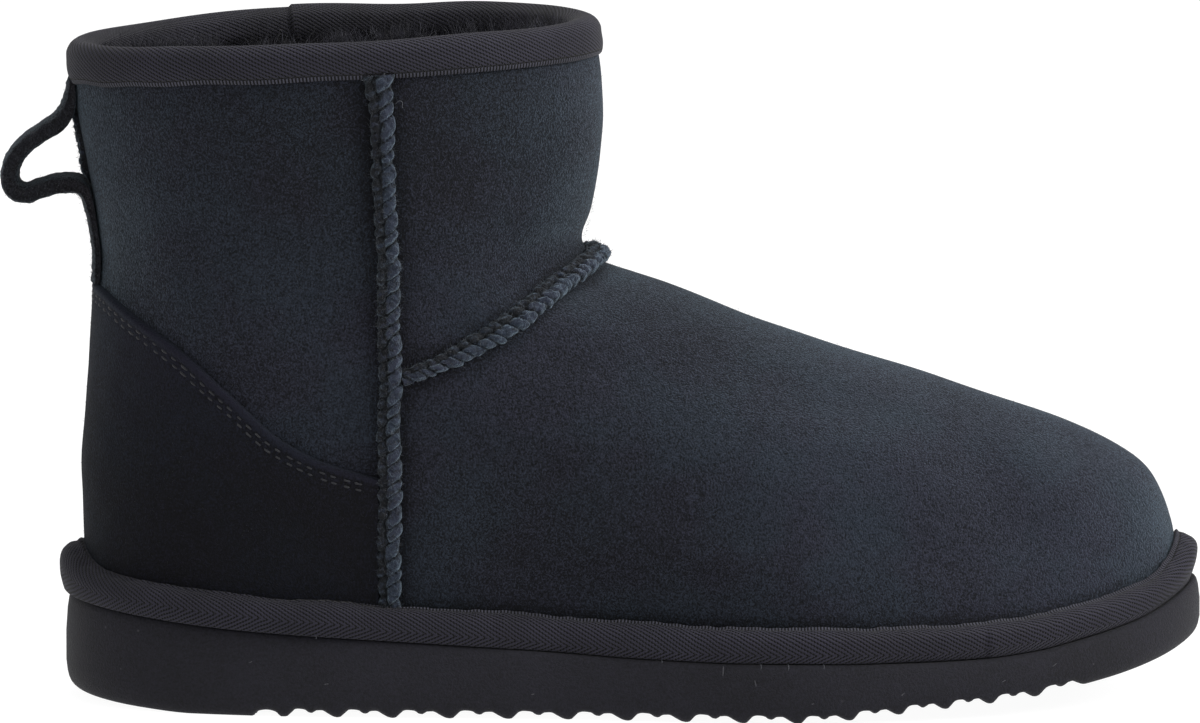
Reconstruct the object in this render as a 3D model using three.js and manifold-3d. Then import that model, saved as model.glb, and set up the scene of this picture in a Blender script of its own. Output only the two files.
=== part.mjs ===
// A pull-on sheepskin ankle boot for the right foot, in millimetres, +Z up, toe towards +X and
// lateral side towards -Y. The origin is on the floor under the centre of the heel.
//
// One function, skin(), gives the outside of the upper: a stack of sections, each running from a point
// on the back of the boot to a point on its front, from the sole up to the collar. The upper, both
// bindings, the counter, the raised seams and the insole are all taken from it.
import * as THREE from "three";
import { mergeVertices } from "three/addons/utils/BufferGeometryUtils.js";
import Module from "manifold-3d";

const wasm = await Module();
wasm.setup();

// Driving sizes of the foot and the shaft
const SOLE_LENGTH = 284;
const SOLE_MARGIN = 6.6; // how far the sole stands out past the upper
const BALL_WIDTH = 94; // upper across the ball of the foot
const THROAT_HEIGHT = 112; // floor to the crease between instep and shaft
const COLLAR_HEIGHT = 165; // floor to the top edge of the wall
const COLLAR_LENGTH = 131; // shaft at its top, back to front
const COLLAR_WIDTH = 92; // shaft at its top, side to side
const COLLAR_ARCH = 1; // how much the collar rises at its sides
const SIDE_SAG = 3.2; // how much lower the upper's lowest sections run at the sides than at the ends
const WALL = 3; // sheepskin without its wool
const GAP = 0.3; // clearance between pieces that meet
const OVERLAY_GAP = 0.5; // under counter, seams and loop, whose facets don't follow the wall's

// Sole
const HEEL_HEIGHT = 26.3; // floor to the top of the sole at its back end
const TOE_SPRING = 15.5; // floor to the underside of the sole at the toe
const SOLE_TOP_MARGIN = 5.4; // the sole's top edge past the upper
const SOLE_EDGE_MARGIN = 4.6; // the sole's lower edge past the upper
const HEEL_CENTRE = 40; // back of the sole to the centre of the heel
const INSOLE_THICKNESS = 5;

// Tread
const TREAD_START = 54; // first rib, from the back of the sole
const TREAD_LENGTH = 198; // first rib to last rib
const TREAD_CELLS = 15;
const TREAD_DRIFT = 10.4; // how far the ribs are pushed forward where they are widest apart
const TREAD_DEPTH = 2;
const LOW_RIB_DROP = 0.9; // the small rib between two large ones is this much shallower
const TREAD_ZIGZAG = 2.6;

// Woven tape round the edge of the sole, and round the collar
const RAND_HEIGHT = 8.9;
const RAND_HEEL_RISE = 5; // extra height at the very back
const RAND_TOE_RISE = 5.6; // extra height at the very front
const RAND_DEPTH = 5.9;
const TAPE_DEPTH = 5.6; // collar tape below the top edge of the wall
const TAPE_BACK_DROP = 1; // how much deeper it reaches at the back
const TAPE_RISE = 3.8; // collar tape above it
const TAPE_BULGE = 2.1; // collar tape outside the wall
const WOOL_ROLL = 4.6; // rolled wool under the tape, inside the wall

// Counter, raised seams and pull loop
const COUNTER_THICKNESS = 1.7;
const COUNTER_HEIGHT = 104.3; // top of the counter at the back
const COUNTER_FRONT_HEIGHT = 60; // top of the counter at the side seam
const SEAM_WIDTH = 6.6;
const SEAM_HEIGHT = 2.4;
const BACK_SEAM_SCALE = 0.62; // the back seam's width and height against the other seams
const SIDE_SEAM_X = 82; // back of the sole to the side seam
const VAMP_SEAM_HEIGHT = 86; // where the vamp seam leaves the side seam
const LOOP_REACH = 18.4; // pull loop out from the back of the shaft
const LOOP_WIDTH = 14;
const LOOP_THICKNESS = 4.4;

// How finely the surfaces are divided
const AROUND = 46;
const UP = 26;
const TURN = 2 * Math.PI;

const UPPER_BACK = 0.96 * SOLE_MARGIN;
const UPPER_LENGTH = SOLE_LENGTH - 2 * UPPER_BACK;
const UPPER_TOE = UPPER_BACK + UPPER_LENGTH;
const THROAT_X = UPPER_BACK + 0.95 * COLLAR_LENGTH;

// Top of the sole along its length: share of SOLE_LENGTH, share of HEEL_HEIGHT
const SOLE_TOP = [
  { at: 0, rise: 1 },
  { at: 0.03, rise: 0.95 },
  { at: 0.09, rise: 0.875 },
  { at: 0.14, rise: 0.82 },
  { at: 0.205, rise: 0.775 },
  { at: 0.31, rise: 0.71 },
  { at: 0.42, rise: 0.64 },
  { at: 0.515, rise: 0.578 },
  { at: 0.6, rise: 0.557 },
  { at: 0.735, rise: 0.557 },
  { at: 0.8, rise: 0.571 },
  { at: 0.85, rise: 0.617 },
  { at: 0.9, rise: 0.719 },
  { at: 0.94, rise: 0.82 },
  { at: 0.97, rise: 0.95 },
  { at: 1, rise: 1.12 },
];

// Underside of the sole: share of SOLE_LENGTH, share of TOE_SPRING. It is flat from heel to ball.
const SOLE_BOTTOM = [
  { at: 0, rise: 0.2 },
  { at: 0.03, rise: 0.12 },
  { at: 0.07, rise: 0.05 },
  { at: 0.115, rise: 0 },
  { at: 0.655, rise: 0 },
  { at: 0.7, rise: 0.075 },
  { at: 0.76, rise: 0.18 },
  { at: 0.815, rise: 0.26 },
  { at: 0.85, rise: 0.325 },
  { at: 0.89, rise: 0.45 },
  { at: 0.93, rise: 0.59 },
  { at: 0.965, rise: 0.76 },
  { at: 1, rise: 1 },
];

// Sideways curve of the last: share of UPPER_LENGTH, share of BALL_WIDTH, medial side positive
const SWING = [
  { at: 0, rise: 0 },
  { at: 0.15, rise: 0 },
  { at: 0.42, rise: -0.028 },
  { at: 0.65, rise: -0.013 },
  { at: 0.85, rise: 0.026 },
  { at: 1, rise: 0.062 },
];

// The ends of the upper's sections, from the sole to the collar.
// back: the rear end, in front of the back of the foot, as a share of UPPER_LENGTH.
// front: the front end, as a share of the way from the throat to the toe.
// backRise, frontRise: their heights, 0 to 1 up to THROAT_HEIGHT and 1 to 2 from there to COLLAR_HEIGHT.
// The first two sections lie on the sole and at the top of the rand, so their heights come from those.
// follow: how much the section sags with the top of the sole. shaft: 0 for foot sizes, 1 for shaft sizes.
const SECTION_ENDS = [
  { back: 0.0037, front: 0.992, follow: 1, shaft: 0 },
  { back: 0.0007, front: 1, follow: 1, shaft: 0 },
  { back: -0.0007, backRise: 0.446, front: 0.978, frontRise: 0.446, follow: 0.75, shaft: 0 },
  { back: -0.0015, backRise: 0.518, front: 0.927, frontRise: 0.531, follow: 0.5, shaft: 0 },
  { back: 0.0004, backRise: 0.598, front: 0.811, frontRise: 0.6125, follow: 0.28, shaft: 0 },
  { back: 0.0033, backRise: 0.679, front: 0.607, frontRise: 0.703, follow: 0.12, shaft: 0 },
  { back: 0.0059, backRise: 0.768, front: 0.369, frontRise: 0.808, follow: 0.04, shaft: 0 },
  { back: 0.0077, backRise: 0.848, front: 0.185, frontRise: 0.895, follow: 0, shaft: 0 },
  { back: 0.0092, backRise: 0.92, front: 0.0595, frontRise: 0.9536, follow: 0, shaft: 0.1 },
  { back: 0.0107, backRise: 0.991, front: 0, frontRise: 1.03, follow: 0, shaft: 0.3 },
  { back: 0.006, backRise: 1.179, front: 0.008, frontRise: 1.198, follow: 0, shaft: 0.6 },
  { back: -0.003, backRise: 1.434, front: 0.0194, frontRise: 1.472, follow: 0, shaft: 1 },
  { back: -0.012, backRise: 1.7075, front: 0.0235, frontRise: 1.783, follow: 0, shaft: 1 },
  { back: -0.0137, backRise: 1.92, front: 0.0092, frontRise: 2.034, follow: 0, shaft: 1 },
];

// The same sections' half-widths at WIDTH_ANGLES, each divided by the sine of its angle, as shares of
// BALL_WIDTH in the foot and of COLLAR_WIDTH in the shaft
const SECTION_WIDTHS = [
  { heel: 0.69, seat: 0.503, waist: 0.397, ball: 0.53, toe: 0.607, tip: 0.65 },
  { heel: 0.702, seat: 0.512, waist: 0.404, ball: 0.539, toe: 0.617, tip: 0.66 },
  { heel: 0.7, seat: 0.524, waist: 0.432, ball: 0.545, toe: 0.54, tip: 0.6 },
  { heel: 0.697, seat: 0.535, waist: 0.448, ball: 0.521, toe: 0.49, tip: 0.47 },
  { heel: 0.669, seat: 0.541, waist: 0.453, ball: 0.487, toe: 0.43, tip: 0.378 },
  { heel: 0.619, seat: 0.534, waist: 0.456, ball: 0.441, toe: 0.393, tip: 0.366 },
  { heel: 0.557, seat: 0.523, waist: 0.457, ball: 0.41, toe: 0.375, tip: 0.351 },
  { heel: 0.504, seat: 0.509, waist: 0.453, ball: 0.415, toe: 0.352, tip: 0.33 },
  { heel: 0.463, seat: 0.497, waist: 0.453, ball: 0.436, toe: 0.362, tip: 0.34 },
  { heel: 0.441, seat: 0.492, waist: 0.459, ball: 0.461, toe: 0.411, tip: 0.385 },
  { heel: 0.452, seat: 0.489, waist: 0.468, ball: 0.473, toe: 0.452, tip: 0.435 },
  { heel: 0.467, seat: 0.495, waist: 0.484, ball: 0.487, toe: 0.473, tip: 0.462 },
  { heel: 0.478, seat: 0.5, waist: 0.495, ball: 0.495, toe: 0.484, tip: 0.473 },
  { heel: 0.484, seat: 0.505, waist: 0.5, ball: 0.5, toe: 0.489, tip: 0.478 },
];
const WIDTH_NAMES = ["heel", "seat", "waist", "ball", "toe", "tip"];
const WIDTH_ANGLES = [0, 45, 80, 112, 145, 180].map(THREE.MathUtils.degToRad);
const RAND_LEVEL = 1 / (SECTION_ENDS.length - 1); // the second section's level

const mix = THREE.MathUtils.lerp;

// Cubic through points (xs, ys) that never overshoots them: flat stretches stay flat.
function cubicThrough(xs, ys) {
  const slopes = xs.map((_, i) => {
    if (i === 0 || i === xs.length - 1) return 0;
    const before = (ys[i] - ys[i - 1]) / (xs[i] - xs[i - 1]);
    const after = (ys[i + 1] - ys[i]) / (xs[i + 1] - xs[i]);
    return before * after <= 0 ? 0 : (2 * before * after) / (before + after);
  });
  const last = xs.length - 1;
  const endSlope = (a, b) => (ys[b] - ys[a]) / (xs[b] - xs[a]);
  return (x, flatEnds) => {
    const own = flatEnds ? slopes : [endSlope(0, 1), ...slopes.slice(1, last), endSlope(last - 1, last)];
    const at = THREE.MathUtils.clamp(x, xs[0], xs[last]);
    let i = 0;
    while (i < last - 1 && at > xs[i + 1]) i++;
    const run = xs[i + 1] - xs[i];
    const s = (at - xs[i]) / run;
    const bend = s * s * (3 - 2 * s);
    return (
      mix(ys[i], ys[i + 1], bend) +
      run * (own[i] * s * (1 - s) * (1 - s) - own[i + 1] * s * s * (1 - s)) +
      (x - at) * (x < at ? own[0] : own[last])
    );
  };
}

const curveOf = (rows, length, height) => {
  const cubic = cubicThrough(rows.map((r) => r.at * length), rows.map((r) => r.rise * height));
  return (x) => cubic(x, false);
};
const soleTop = curveOf(SOLE_TOP, SOLE_LENGTH, HEEL_HEIGHT);
const soleBottom = curveOf(SOLE_BOTTOM, SOLE_LENGTH, TOE_SPRING);
const swingOverFoot = curveOf(SWING, UPPER_LENGTH, BALL_WIDTH);

const randHeight = (angle) => {
  const rise = mix(RAND_HEEL_RISE, RAND_TOE_RISE, (1 - Math.cos(angle)) / 2);
  return RAND_HEIGHT + rise * Math.cos(angle) ** 60;
};
const tapeDepth = (angle) => TAPE_DEPTH + TAPE_BACK_DROP * Math.max(0, Math.cos(angle)) ** 4;
const riseHeight = (rise) =>
  rise <= 1 ? rise * THROAT_HEIGHT : mix(THROAT_HEIGHT, COLLAR_HEIGHT, rise - 1);

// Each section with its real sizes
const SIZED = SECTION_ENDS.map((row, i) => {
  const back = UPPER_BACK + row.back * UPPER_LENGTH;
  const front = mix(THROAT_X, UPPER_TOE, row.front);
  const onSole = (x) => soleTop(x) + (i === 0 ? GAP : RAND_HEIGHT + SIDE_SAG);
  const width = mix(BALL_WIDTH, COLLAR_WIDTH, row.shaft);
  return {
    back,
    front,
    backZ: i < 2 ? onSole(back) : riseHeight(row.backRise),
    frontZ: i < 2 ? onSole(front) : riseHeight(row.frontRise),
    follow: row.follow,
    foot: 1 - row.shaft,
    widths: WIDTH_NAMES.map((name) => SECTION_WIDTHS[i][name] * width),
  };
});

// Catmull-Rom between neighbouring sections
function blendRows(values, level) {
  const last = values.length - 1;
  const i = THREE.MathUtils.clamp(Math.floor(level * last), 0, last - 1);
  const s = level * last - i;
  const [p1, p2] = [values[i], values[i + 1]];
  const p0 = i > 0 ? values[i - 1] : 2 * p1 - p2;
  const p3 = i + 2 <= last ? values[i + 2] : 2 * p2 - p1;
  return (
    p1 +
    0.5 * s * (p2 - p0 + s * (2 * p0 - 5 * p1 + 4 * p2 - p3 + s * (3 * (p1 - p2) + p3 - p0)))
  );
}

// The section at a level from 0, on the sole, to 1, at the collar
const sectionCache = new Map();
function sectionAt(level) {
  if (sectionCache.has(level)) return sectionCache.get(level);
  const one = (name) => blendRows(SIZED.map((row) => row[name]), level);
  const widths = WIDTH_NAMES.map((_, i) => blendRows(SIZED.map((row) => row.widths[i]), level));
  const made = {
    back: one("back"),
    front: one("front"),
    backZ: one("backZ"),
    frontZ: one("frontZ"),
    follow: one("follow"),
    foot: one("foot"),
    width: cubicThrough(WIDTH_ANGLES, widths),
  };
  if (sectionCache.size > 4000) sectionCache.clear();
  sectionCache.set(level, made);
  return made;
}

// A point on the outside of the upper. The angle runs from the back, by the lateral side, to the
// front at PI, and by the medial side to the back again.
function skin(angle, level) {
  const row = sectionAt(level);
  const share = (1 - Math.cos(angle)) / 2;
  const x = mix(row.back, row.front, share);
  const folded = Math.acos(Math.cos(angle));
  const half = Math.sin(angle) * row.width(folded, true);
  const y = swingOverFoot(x - UPPER_BACK) * row.foot - half;
  const sag = soleTop(x) - mix(soleTop(row.back), soleTop(row.front), share);
  const sideDip = level < RAND_LEVEL ? level / RAND_LEVEL : row.follow;
  const arch = COLLAR_ARCH * THREE.MathUtils.smoothstep(level, 0.8, 1) * Math.sin(angle) ** 2;
  const z =
    mix(row.backZ, row.frontZ, share) +
    row.follow * sag -
    sideDip * SIDE_SAG * (1 - Math.cos(angle) ** 4) +
    arch;
  return new THREE.Vector3(x, y, z);
}

const STEP = 1e-3;
function derivatives(angle, level) {
  const [low, high] = [Math.max(level - STEP, 0), Math.min(level + STEP, 1)];
  return {
    around: skin(angle + STEP, level).sub(skin(angle - STEP, level)).divideScalar(2 * STEP),
    up: skin(angle, high).sub(skin(angle, low)).divideScalar(high - low),
  };
}

function normalAt(angle, level) {
  const { around, up } = derivatives(angle, level);
  return around.cross(up).normalize();
}

// The outward direction seen from above
function planNormal(angle, level) {
  const { around } = derivatives(angle, level);
  return new THREE.Vector3(-around.y, around.x, 0).normalize().negate();
}

// The normal, turned level at the sole and at the collar, where the wall ends flat
function wallNormal(angle, level) {
  const fade = Math.min(1, level / (2 * RAND_LEVEL), (1 - level) / RAND_LEVEL);
  const normal = normalAt(angle, level);
  normal.z *= fade;
  return normal.normalize();
}

const offsetFrom = (point, normal, distance) => point.clone().addScaledVector(normal, distance);
const offSkin = (angle, level, out) => offsetFrom(skin(angle, level), normalAt(angle, level), out);
const offPlan = (angle, level, out) => offsetFrom(skin(angle, level), planNormal(angle, level), out);

// The value from low to high at which a rising function reaches zero
function solve(rising, low, high) {
  for (let i = 0; i < 40; i++) {
    const middle = (low + high) / 2;
    if (rising(middle) < 0) low = middle;
    else high = middle;
  }
  return (low + high) / 2;
}

const levelOverSole = (angle, height) =>
  solve((level) => {
    const p = skin(angle, level);
    return p.z - soleTop(p.x) - height;
  }, 0, 0.6);
const levelBelowCollar = (angle, depth) =>
  solve((level) => skin(angle, level).z - skin(angle, 1).z + depth, 0.5, 1);

// Angle of the point at length x on the section at a level, on the lateral side
const angleAtLength = (x, level) => {
  const row = sectionAt(level);
  return Math.acos(THREE.MathUtils.clamp(1 - (2 * (x - row.back)) / (row.front - row.back), -1, 1));
};

// Where a point of the side view, at length x and height z, lies on the skin
function placeOnSide(x, z, medial) {
  const level = solve((l) => skin(angleAtLength(x, l), l).z - z, 0, 1);
  const angle = angleAtLength(x, level);
  return { angle: medial ? TURN - angle : angle, level };
}

// The place on the skin nearest to a point, from a place close by
function nearestPlace(point, start) {
  let { angle, level } = start;
  for (let i = 0; i < 4; i++) {
    const miss = point.clone().sub(skin(angle, level));
    const { around, up } = derivatives(angle, level);
    const [aa, au, uu] = [around.dot(around), around.dot(up), up.dot(up)];
    const [ma, mu] = [miss.dot(around), miss.dot(up)];
    const det = aa * uu - au * au;
    angle += (ma * uu - mu * au) / det;
    level = THREE.MathUtils.clamp(level + (mu * aa - ma * au) / det, 0, 1);
  }
  return { angle, level };
}

// A closed geometry from rings of equally many points. A loop of rings joins its last to its first.
// Otherwise both ends are closed by strips between opposite points; an apex ring starts on a point
// that is its own opposite.
function geometryFromRings(rings, { loop = false, apex = false } = {}) {
  const count = rings[0].length;
  const positions = rings.flat().flatMap((p) => [p.x, p.y, p.z]);
  const index = [];
  const quad = (a, b, c, d) => index.push(a, b, c, a, c, d);
  for (let k = 0; k < rings.length - (loop ? 0 : 1); k++) {
    const [here, next] = [k * count, ((k + 1) % rings.length) * count];
    for (let i = 0; i < count; i++) {
      const j = (i + 1) % count;
      quad(here + i, here + j, next + j, next + i);
    }
  }
  if (!loop)
    for (const [base, facing] of [[0, true], [(rings.length - 1) * count, false]]) {
      const opposite = (i) => (apex ? (count - i) % count : count - 1 - i);
      for (let i = 0; i < (apex ? count / 2 : count / 2 - 1); i++) {
        const corners = [i, i + 1, opposite(i + 1), opposite(i)];
        const turned = (facing ? corners.reverse() : corners).map((c) => base + c);
        const shown = turned.filter((c, n) => turned.indexOf(c) === n);
        if (shown.length === 4) quad(...shown);
        else index.push(...shown);
      }
    }
  const geometry = new THREE.BufferGeometry();
  geometry.setAttribute("position", new THREE.Float32BufferAttribute(positions, 3));
  geometry.setIndex(index);
  return signedVolume(geometry) < 0 ? turnedOver(geometry) : geometry;
}

function signedVolume(geometry) {
  const at = geometry.getAttribute("position");
  const corner = (i) => new THREE.Vector3().fromBufferAttribute(at, geometry.index.getX(i));
  let sum = 0;
  for (let i = 0; i < geometry.index.count; i += 3)
    sum += corner(i).dot(corner(i + 1).cross(corner(i + 2))) / 6;
  return sum;
}

function turnedOver(geometry) {
  const index = [...geometry.index.array];
  for (let i = 0; i < index.length; i += 3) [index[i + 1], index[i + 2]] = [index[i + 2], index[i + 1]];
  geometry.setIndex(index);
  return geometry;
}

function toManifold(geometry) {
  const merged = mergeVertices(geometry, 1e-4);
  return new wasm.Manifold(
    new wasm.Mesh({
      numProp: 3,
      vertProperties: merged.getAttribute("position").array,
      triVerts: new Uint32Array(merged.index.array),
    }),
  );
}

function fromManifold(solid) {
  const mesh = solid.getMesh();
  const geometry = new THREE.BufferGeometry();
  geometry.setAttribute("position", new THREE.BufferAttribute(mesh.vertProperties, 3));
  geometry.setIndex([...mesh.triVerts]);
  return geometry;
}

const range = (count) => Array.from({ length: count }, (_, i) => i);
const angles = range(AROUND).map((i) => (i * TURN) / AROUND);

// The upper: one wall, open at the collar and underneath
function upperGeometry() {
  const levels = range(UP + 1).map((i) => i / UP);
  const outer = levels.map((level) => angles.map((angle) => skin(angle, level)));
  const inner = levels.map((level) =>
    angles.map((angle) => offsetFrom(skin(angle, level), wallNormal(angle, level), -WALL)),
  );
  return geometryFromRings([...outer, ...inner.reverse()], { loop: true });
}

// Side wall of the sole: share of the way down, and how far it stands out past the upper
const SOLE_SIDE = [
  { down: 0, margin: SOLE_TOP_MARGIN },
  { down: 0.14, margin: mix(SOLE_TOP_MARGIN, SOLE_MARGIN, 0.5) },
  { down: 0.66, margin: SOLE_MARGIN },
  { down: 0.88, margin: mix(SOLE_MARGIN, SOLE_EDGE_MARGIN, 0.2) },
  { down: 0.96, margin: mix(SOLE_MARGIN, SOLE_EDGE_MARGIN, 0.55) },
  { down: 1, margin: SOLE_EDGE_MARGIN },
];

function soleBlank() {
  const rings = SOLE_SIDE.map(({ down, margin }) =>
    angles.map((angle) => {
      const p = offPlan(angle, RAND_LEVEL, margin);
      return p.setZ(mix(soleTop(p.x), soleBottom(p.x), down));
    }),
  );
  return toManifold(geometryFromRings(rings, { apex: true }));
}

// Length of a main rib of the tread. The ribs are widest apart under the ball.
const ribLength = (rib) =>
  TREAD_START +
  (TREAD_LENGTH * rib) / TREAD_CELLS +
  TREAD_DRIFT * Math.max(0, Math.sin(Math.PI * (Math.max(rib, 0) / TREAD_CELLS) ** 1.4)) ** 1.5;

// One cell of the tread between two main ribs: two grooves with a low rib between them.
// along: share of the cell's length. up: share of TREAD_DEPTH above the ribs.
const LOW_RIB = LOW_RIB_DROP / TREAD_DEPTH;
const CELL = [
  { along: 0.17, up: -1 },
  { along: 0.17, up: 0 },
  { along: 0.28, up: 1 },
  { along: 0.38, up: 1 },
  { along: 0.46, up: LOW_RIB },
  { along: 0.54, up: LOW_RIB },
  { along: 0.62, up: 1 },
  { along: 0.72, up: 1 },
  { along: 0.83, up: 0 },
  { along: 0.83, up: -1 },
];

const CROSSINGS = 4; // straight stretches of a rib from side to side
function treadCutter(start, end, profile) {
  const reach = BALL_WIDTH / 2 + 3 * SOLE_MARGIN;
  const rings = range(CROSSINGS + 1).map((i) => {
    const y = mix(-reach, reach, i / CROSSINGS);
    const zigzag = TREAD_ZIGZAG * (i % 2 ? 1 : -1);
    return profile.map(({ along, up }) => {
      const x = mix(start, end, along) + zigzag;
      return new THREE.Vector3(x, y, soleBottom(x) + up * TREAD_DEPTH);
    });
  });
  return toManifold(geometryFromRings(rings));
}

function outsoleGeometry() {
  const cutters = range(TREAD_CELLS).map((i) => treadCutter(ribLength(i), ribLength(i + 1), CELL));
  return fromManifold(cutters.reduce((sole, cutter) => sole.subtract(cutter), soleBlank()));
}

// The tape round the edge of the sole. up: share of its height. out: share of RAND_DEPTH.
const RAND_SECTION = [
  { up: 0, out: 0 },
  { up: 0.35, out: 0 },
  { up: 0.7, out: 0 },
  { up: 1, out: 0 },
  { up: 1, out: 0.16 },
  { up: 0.86, out: 0.55 },
  { up: 0.66, out: 0.88 },
  { up: 0.42, out: 1 },
  { up: 0.2, out: 0.93 },
  { up: 0, out: 0.72 },
];

function randGeometry() {
  const overCounter = COUNTER_THICKNESS + OVERLAY_GAP;
  const rings = angles.map((angle) => {
    const behind = THREE.MathUtils.smoothstep(Math.cos(angle), 0.1, 0.8) * overCounter;
    const top = levelOverSole(angle, randHeight(angle));
    return RAND_SECTION.map(({ up, out }) => {
      const p = offPlan(angle, up * top, GAP + out * RAND_DEPTH + (out > 0 ? behind : 0));
      return p.setZ(mix(soleTop(p.x) + GAP, skin(angle, top).z, up));
    });
  });
  return geometryFromRings(rings, { loop: true });
}

// The tape over the collar: a channel that holds the wall's top edge, with the wool rolled inside.
// below: depth under the wall's top edge, before the drop at the back. out: distance outside the
// wall's outer face.
const INSIDE = -WALL - GAP;
const COLLAR_SECTION = [
  { below: TAPE_DEPTH, out: GAP },
  { below: -GAP, out: GAP },
  { below: -GAP, out: INSIDE },
  { below: TAPE_DEPTH, out: INSIDE },
  { below: TAPE_DEPTH, out: INSIDE - 0.7 * WOOL_ROLL },
  { below: 0.45 * TAPE_DEPTH, out: INSIDE - WOOL_ROLL },
  { below: -0.3 * TAPE_RISE, out: INSIDE - 0.8 * WOOL_ROLL },
  { below: -TAPE_RISE, out: INSIDE * 0.75 },
  { below: -TAPE_RISE, out: INSIDE * 0.2 },
  { below: -0.4 * TAPE_RISE, out: 0.85 * TAPE_BULGE },
  { below: 0.35 * TAPE_DEPTH, out: TAPE_BULGE },
  { below: TAPE_DEPTH, out: 0.6 * TAPE_BULGE },
];

function collarGeometry() {
  const rings = angles.map((angle) =>
    COLLAR_SECTION.map(({ below, out }) => {
      const depth = below > 0 ? (below * tapeDepth(angle)) / TAPE_DEPTH : below;
      const level = below > 0 ? levelBelowCollar(angle, depth) : 1;
      const p = offPlan(angle, level, out);
      return p.setZ(skin(angle, 1).z - depth);
    }),
  );
  return geometryFromRings(rings, { loop: true });
}

// The footbed, on the sole inside the wall
function insoleGeometry() {
  const inset = WALL + 2 * GAP;
  const rings = [GAP, GAP + INSOLE_THICKNESS].map((height) =>
    angles.map((angle) => {
      const p = offPlan(angle, levelOverSole(angle, height), -inset);
      return p.setZ(soleTop(p.x) + height);
    }),
  );
  return geometryFromRings(rings, { apex: true });
}

// The side seam's line: share of COLLAR_HEIGHT, share of SEAM_WIDTH in front of SIDE_SEAM_X
const SIDE_SEAM_LEAN = [
  { at: 0, rise: -0.1 },
  { at: 0.25, rise: -0.04 },
  { at: 0.5, rise: 0 },
  { at: 0.75, rise: -0.17 },
  { at: 1, rise: -0.5 },
];
const sideSeamLean = curveOf(SIDE_SEAM_LEAN, COLLAR_HEIGHT, SEAM_WIDTH);

// Where the side seam's centre line, moved along the boot, crosses a level on the lateral side
function sideSeamPlace(level, ahead = 0) {
  const z = skin(angleAtLength(SIDE_SEAM_X, level), level).z;
  return angleAtLength(SIDE_SEAM_X + sideSeamLean(z) + ahead, level);
}

// Height of the counter's top edge: share of the way from the back to the side seam, share of the drop
const COUNTER_EDGE = [
  { at: 0, rise: 1 },
  { at: 0.05, rise: 0.98 },
  { at: 0.15, rise: 0.885 },
  { at: 0.33, rise: 0.695 },
  { at: 0.5, rise: 0.455 },
  { at: 0.67, rise: 0.212 },
  { at: 0.83, rise: 0.08 },
  { at: 1, rise: 0 },
];
const COUNTER_FRONT = SIDE_SEAM_X - SEAM_WIDTH / 2 - 2 * GAP;
const counterDrop = curveOf(COUNTER_EDGE, COUNTER_FRONT - UPPER_BACK, COUNTER_HEIGHT - COUNTER_FRONT_HEIGHT);
const counterEdge = (x) => COUNTER_FRONT_HEIGHT + counterDrop(Math.max(x - UPPER_BACK, 0));

function counterGeometry() {
  const [columns, rows] = [22, 5];
  const rings = range(columns + 1).map((i) => {
    const side = (2 * i) / columns - 1;
    const angleOn = (level) => side * sideSeamPlace(level, COUNTER_FRONT - SIDE_SEAM_X);
    const foot = solve((level) => {
      const p = skin(angleOn(level), level);
      return p.z - soleTop(p.x) - randHeight(angleOn(level)) - 4 * GAP;
    }, 0, 0.6);
    const top = solve((level) => {
      const p = skin(angleOn(level), level);
      return p.z - counterEdge(p.x);
    }, foot, 1);
    const levels = range(rows + 1).map((j) => mix(foot, top, j / rows));
    const outer = levels.map((level) => offSkin(angleOn(level), level, OVERLAY_GAP + COUNTER_THICKNESS));
    const inner = levels.map((level) => offSkin(angleOn(level), level, OVERLAY_GAP));
    return [...outer, ...inner.reverse()];
  });
  return geometryFromRings(rings);
}

// A raised seam: two rounded rows of stitched edge side by side.
// across: share of SEAM_WIDTH. up: share of SEAM_HEIGHT.
const SEAM_SECTION = [
  { across: -0.5, up: 0 },
  { across: -0.46, up: 0.5 },
  { across: -0.26, up: 0.8 },
  { across: -0.06, up: 0.58 },
  { across: 0.18, up: 1 },
  { across: 0.44, up: 0.72 },
  { across: 0.5, up: 0 },
  { across: 0, up: 0 },
];

function seamGeometry(places, scale = 1) {
  const points = places.map(({ angle, level }) => skin(angle, level));
  const rings = places.map((place, i) => {
    const ahead = points[Math.min(i + 1, points.length - 1)];
    const tangent = ahead.clone().sub(points[Math.max(i - 1, 0)]).normalize();
    const across = tangent.cross(normalAt(place.angle, place.level)).normalize();
    return SEAM_SECTION.map((row) => {
      const near = nearestPlace(offsetFrom(points[i], across, row.across * scale * SEAM_WIDTH), place);
      return offSkin(near.angle, near.level, OVERLAY_GAP + row.up * scale * SEAM_HEIGHT);
    });
  });
  return geometryFromRings(rings);
}

function sideSeamGeometry(medial) {
  const placeAt = (level) => {
    const angle = sideSeamPlace(level);
    return { angle: medial ? TURN - angle : angle, level };
  };
  const sideAngle = placeAt(0.5).angle;
  const foot = levelOverSole(sideAngle, randHeight(sideAngle) + 2 * GAP);
  const top = levelBelowCollar(placeAt(1).angle, tapeDepth(placeAt(1).angle) + 2 * GAP);
  return seamGeometry(range(15).map((i) => placeAt(mix(foot, top, i / 14))));
}

// The vamp seam's line in the side view: share of the way from the side seam to the throat, share of
// the rise between them
const VAMP_SEAM = [
  { at: 0, rise: 0 },
  { at: 0.15, rise: 0.105 },
  { at: 0.42, rise: 0.352 },
  { at: 0.68, rise: 0.67 },
  { at: 0.85, rise: 0.868 },
  { at: 1, rise: 1 },
];

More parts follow.
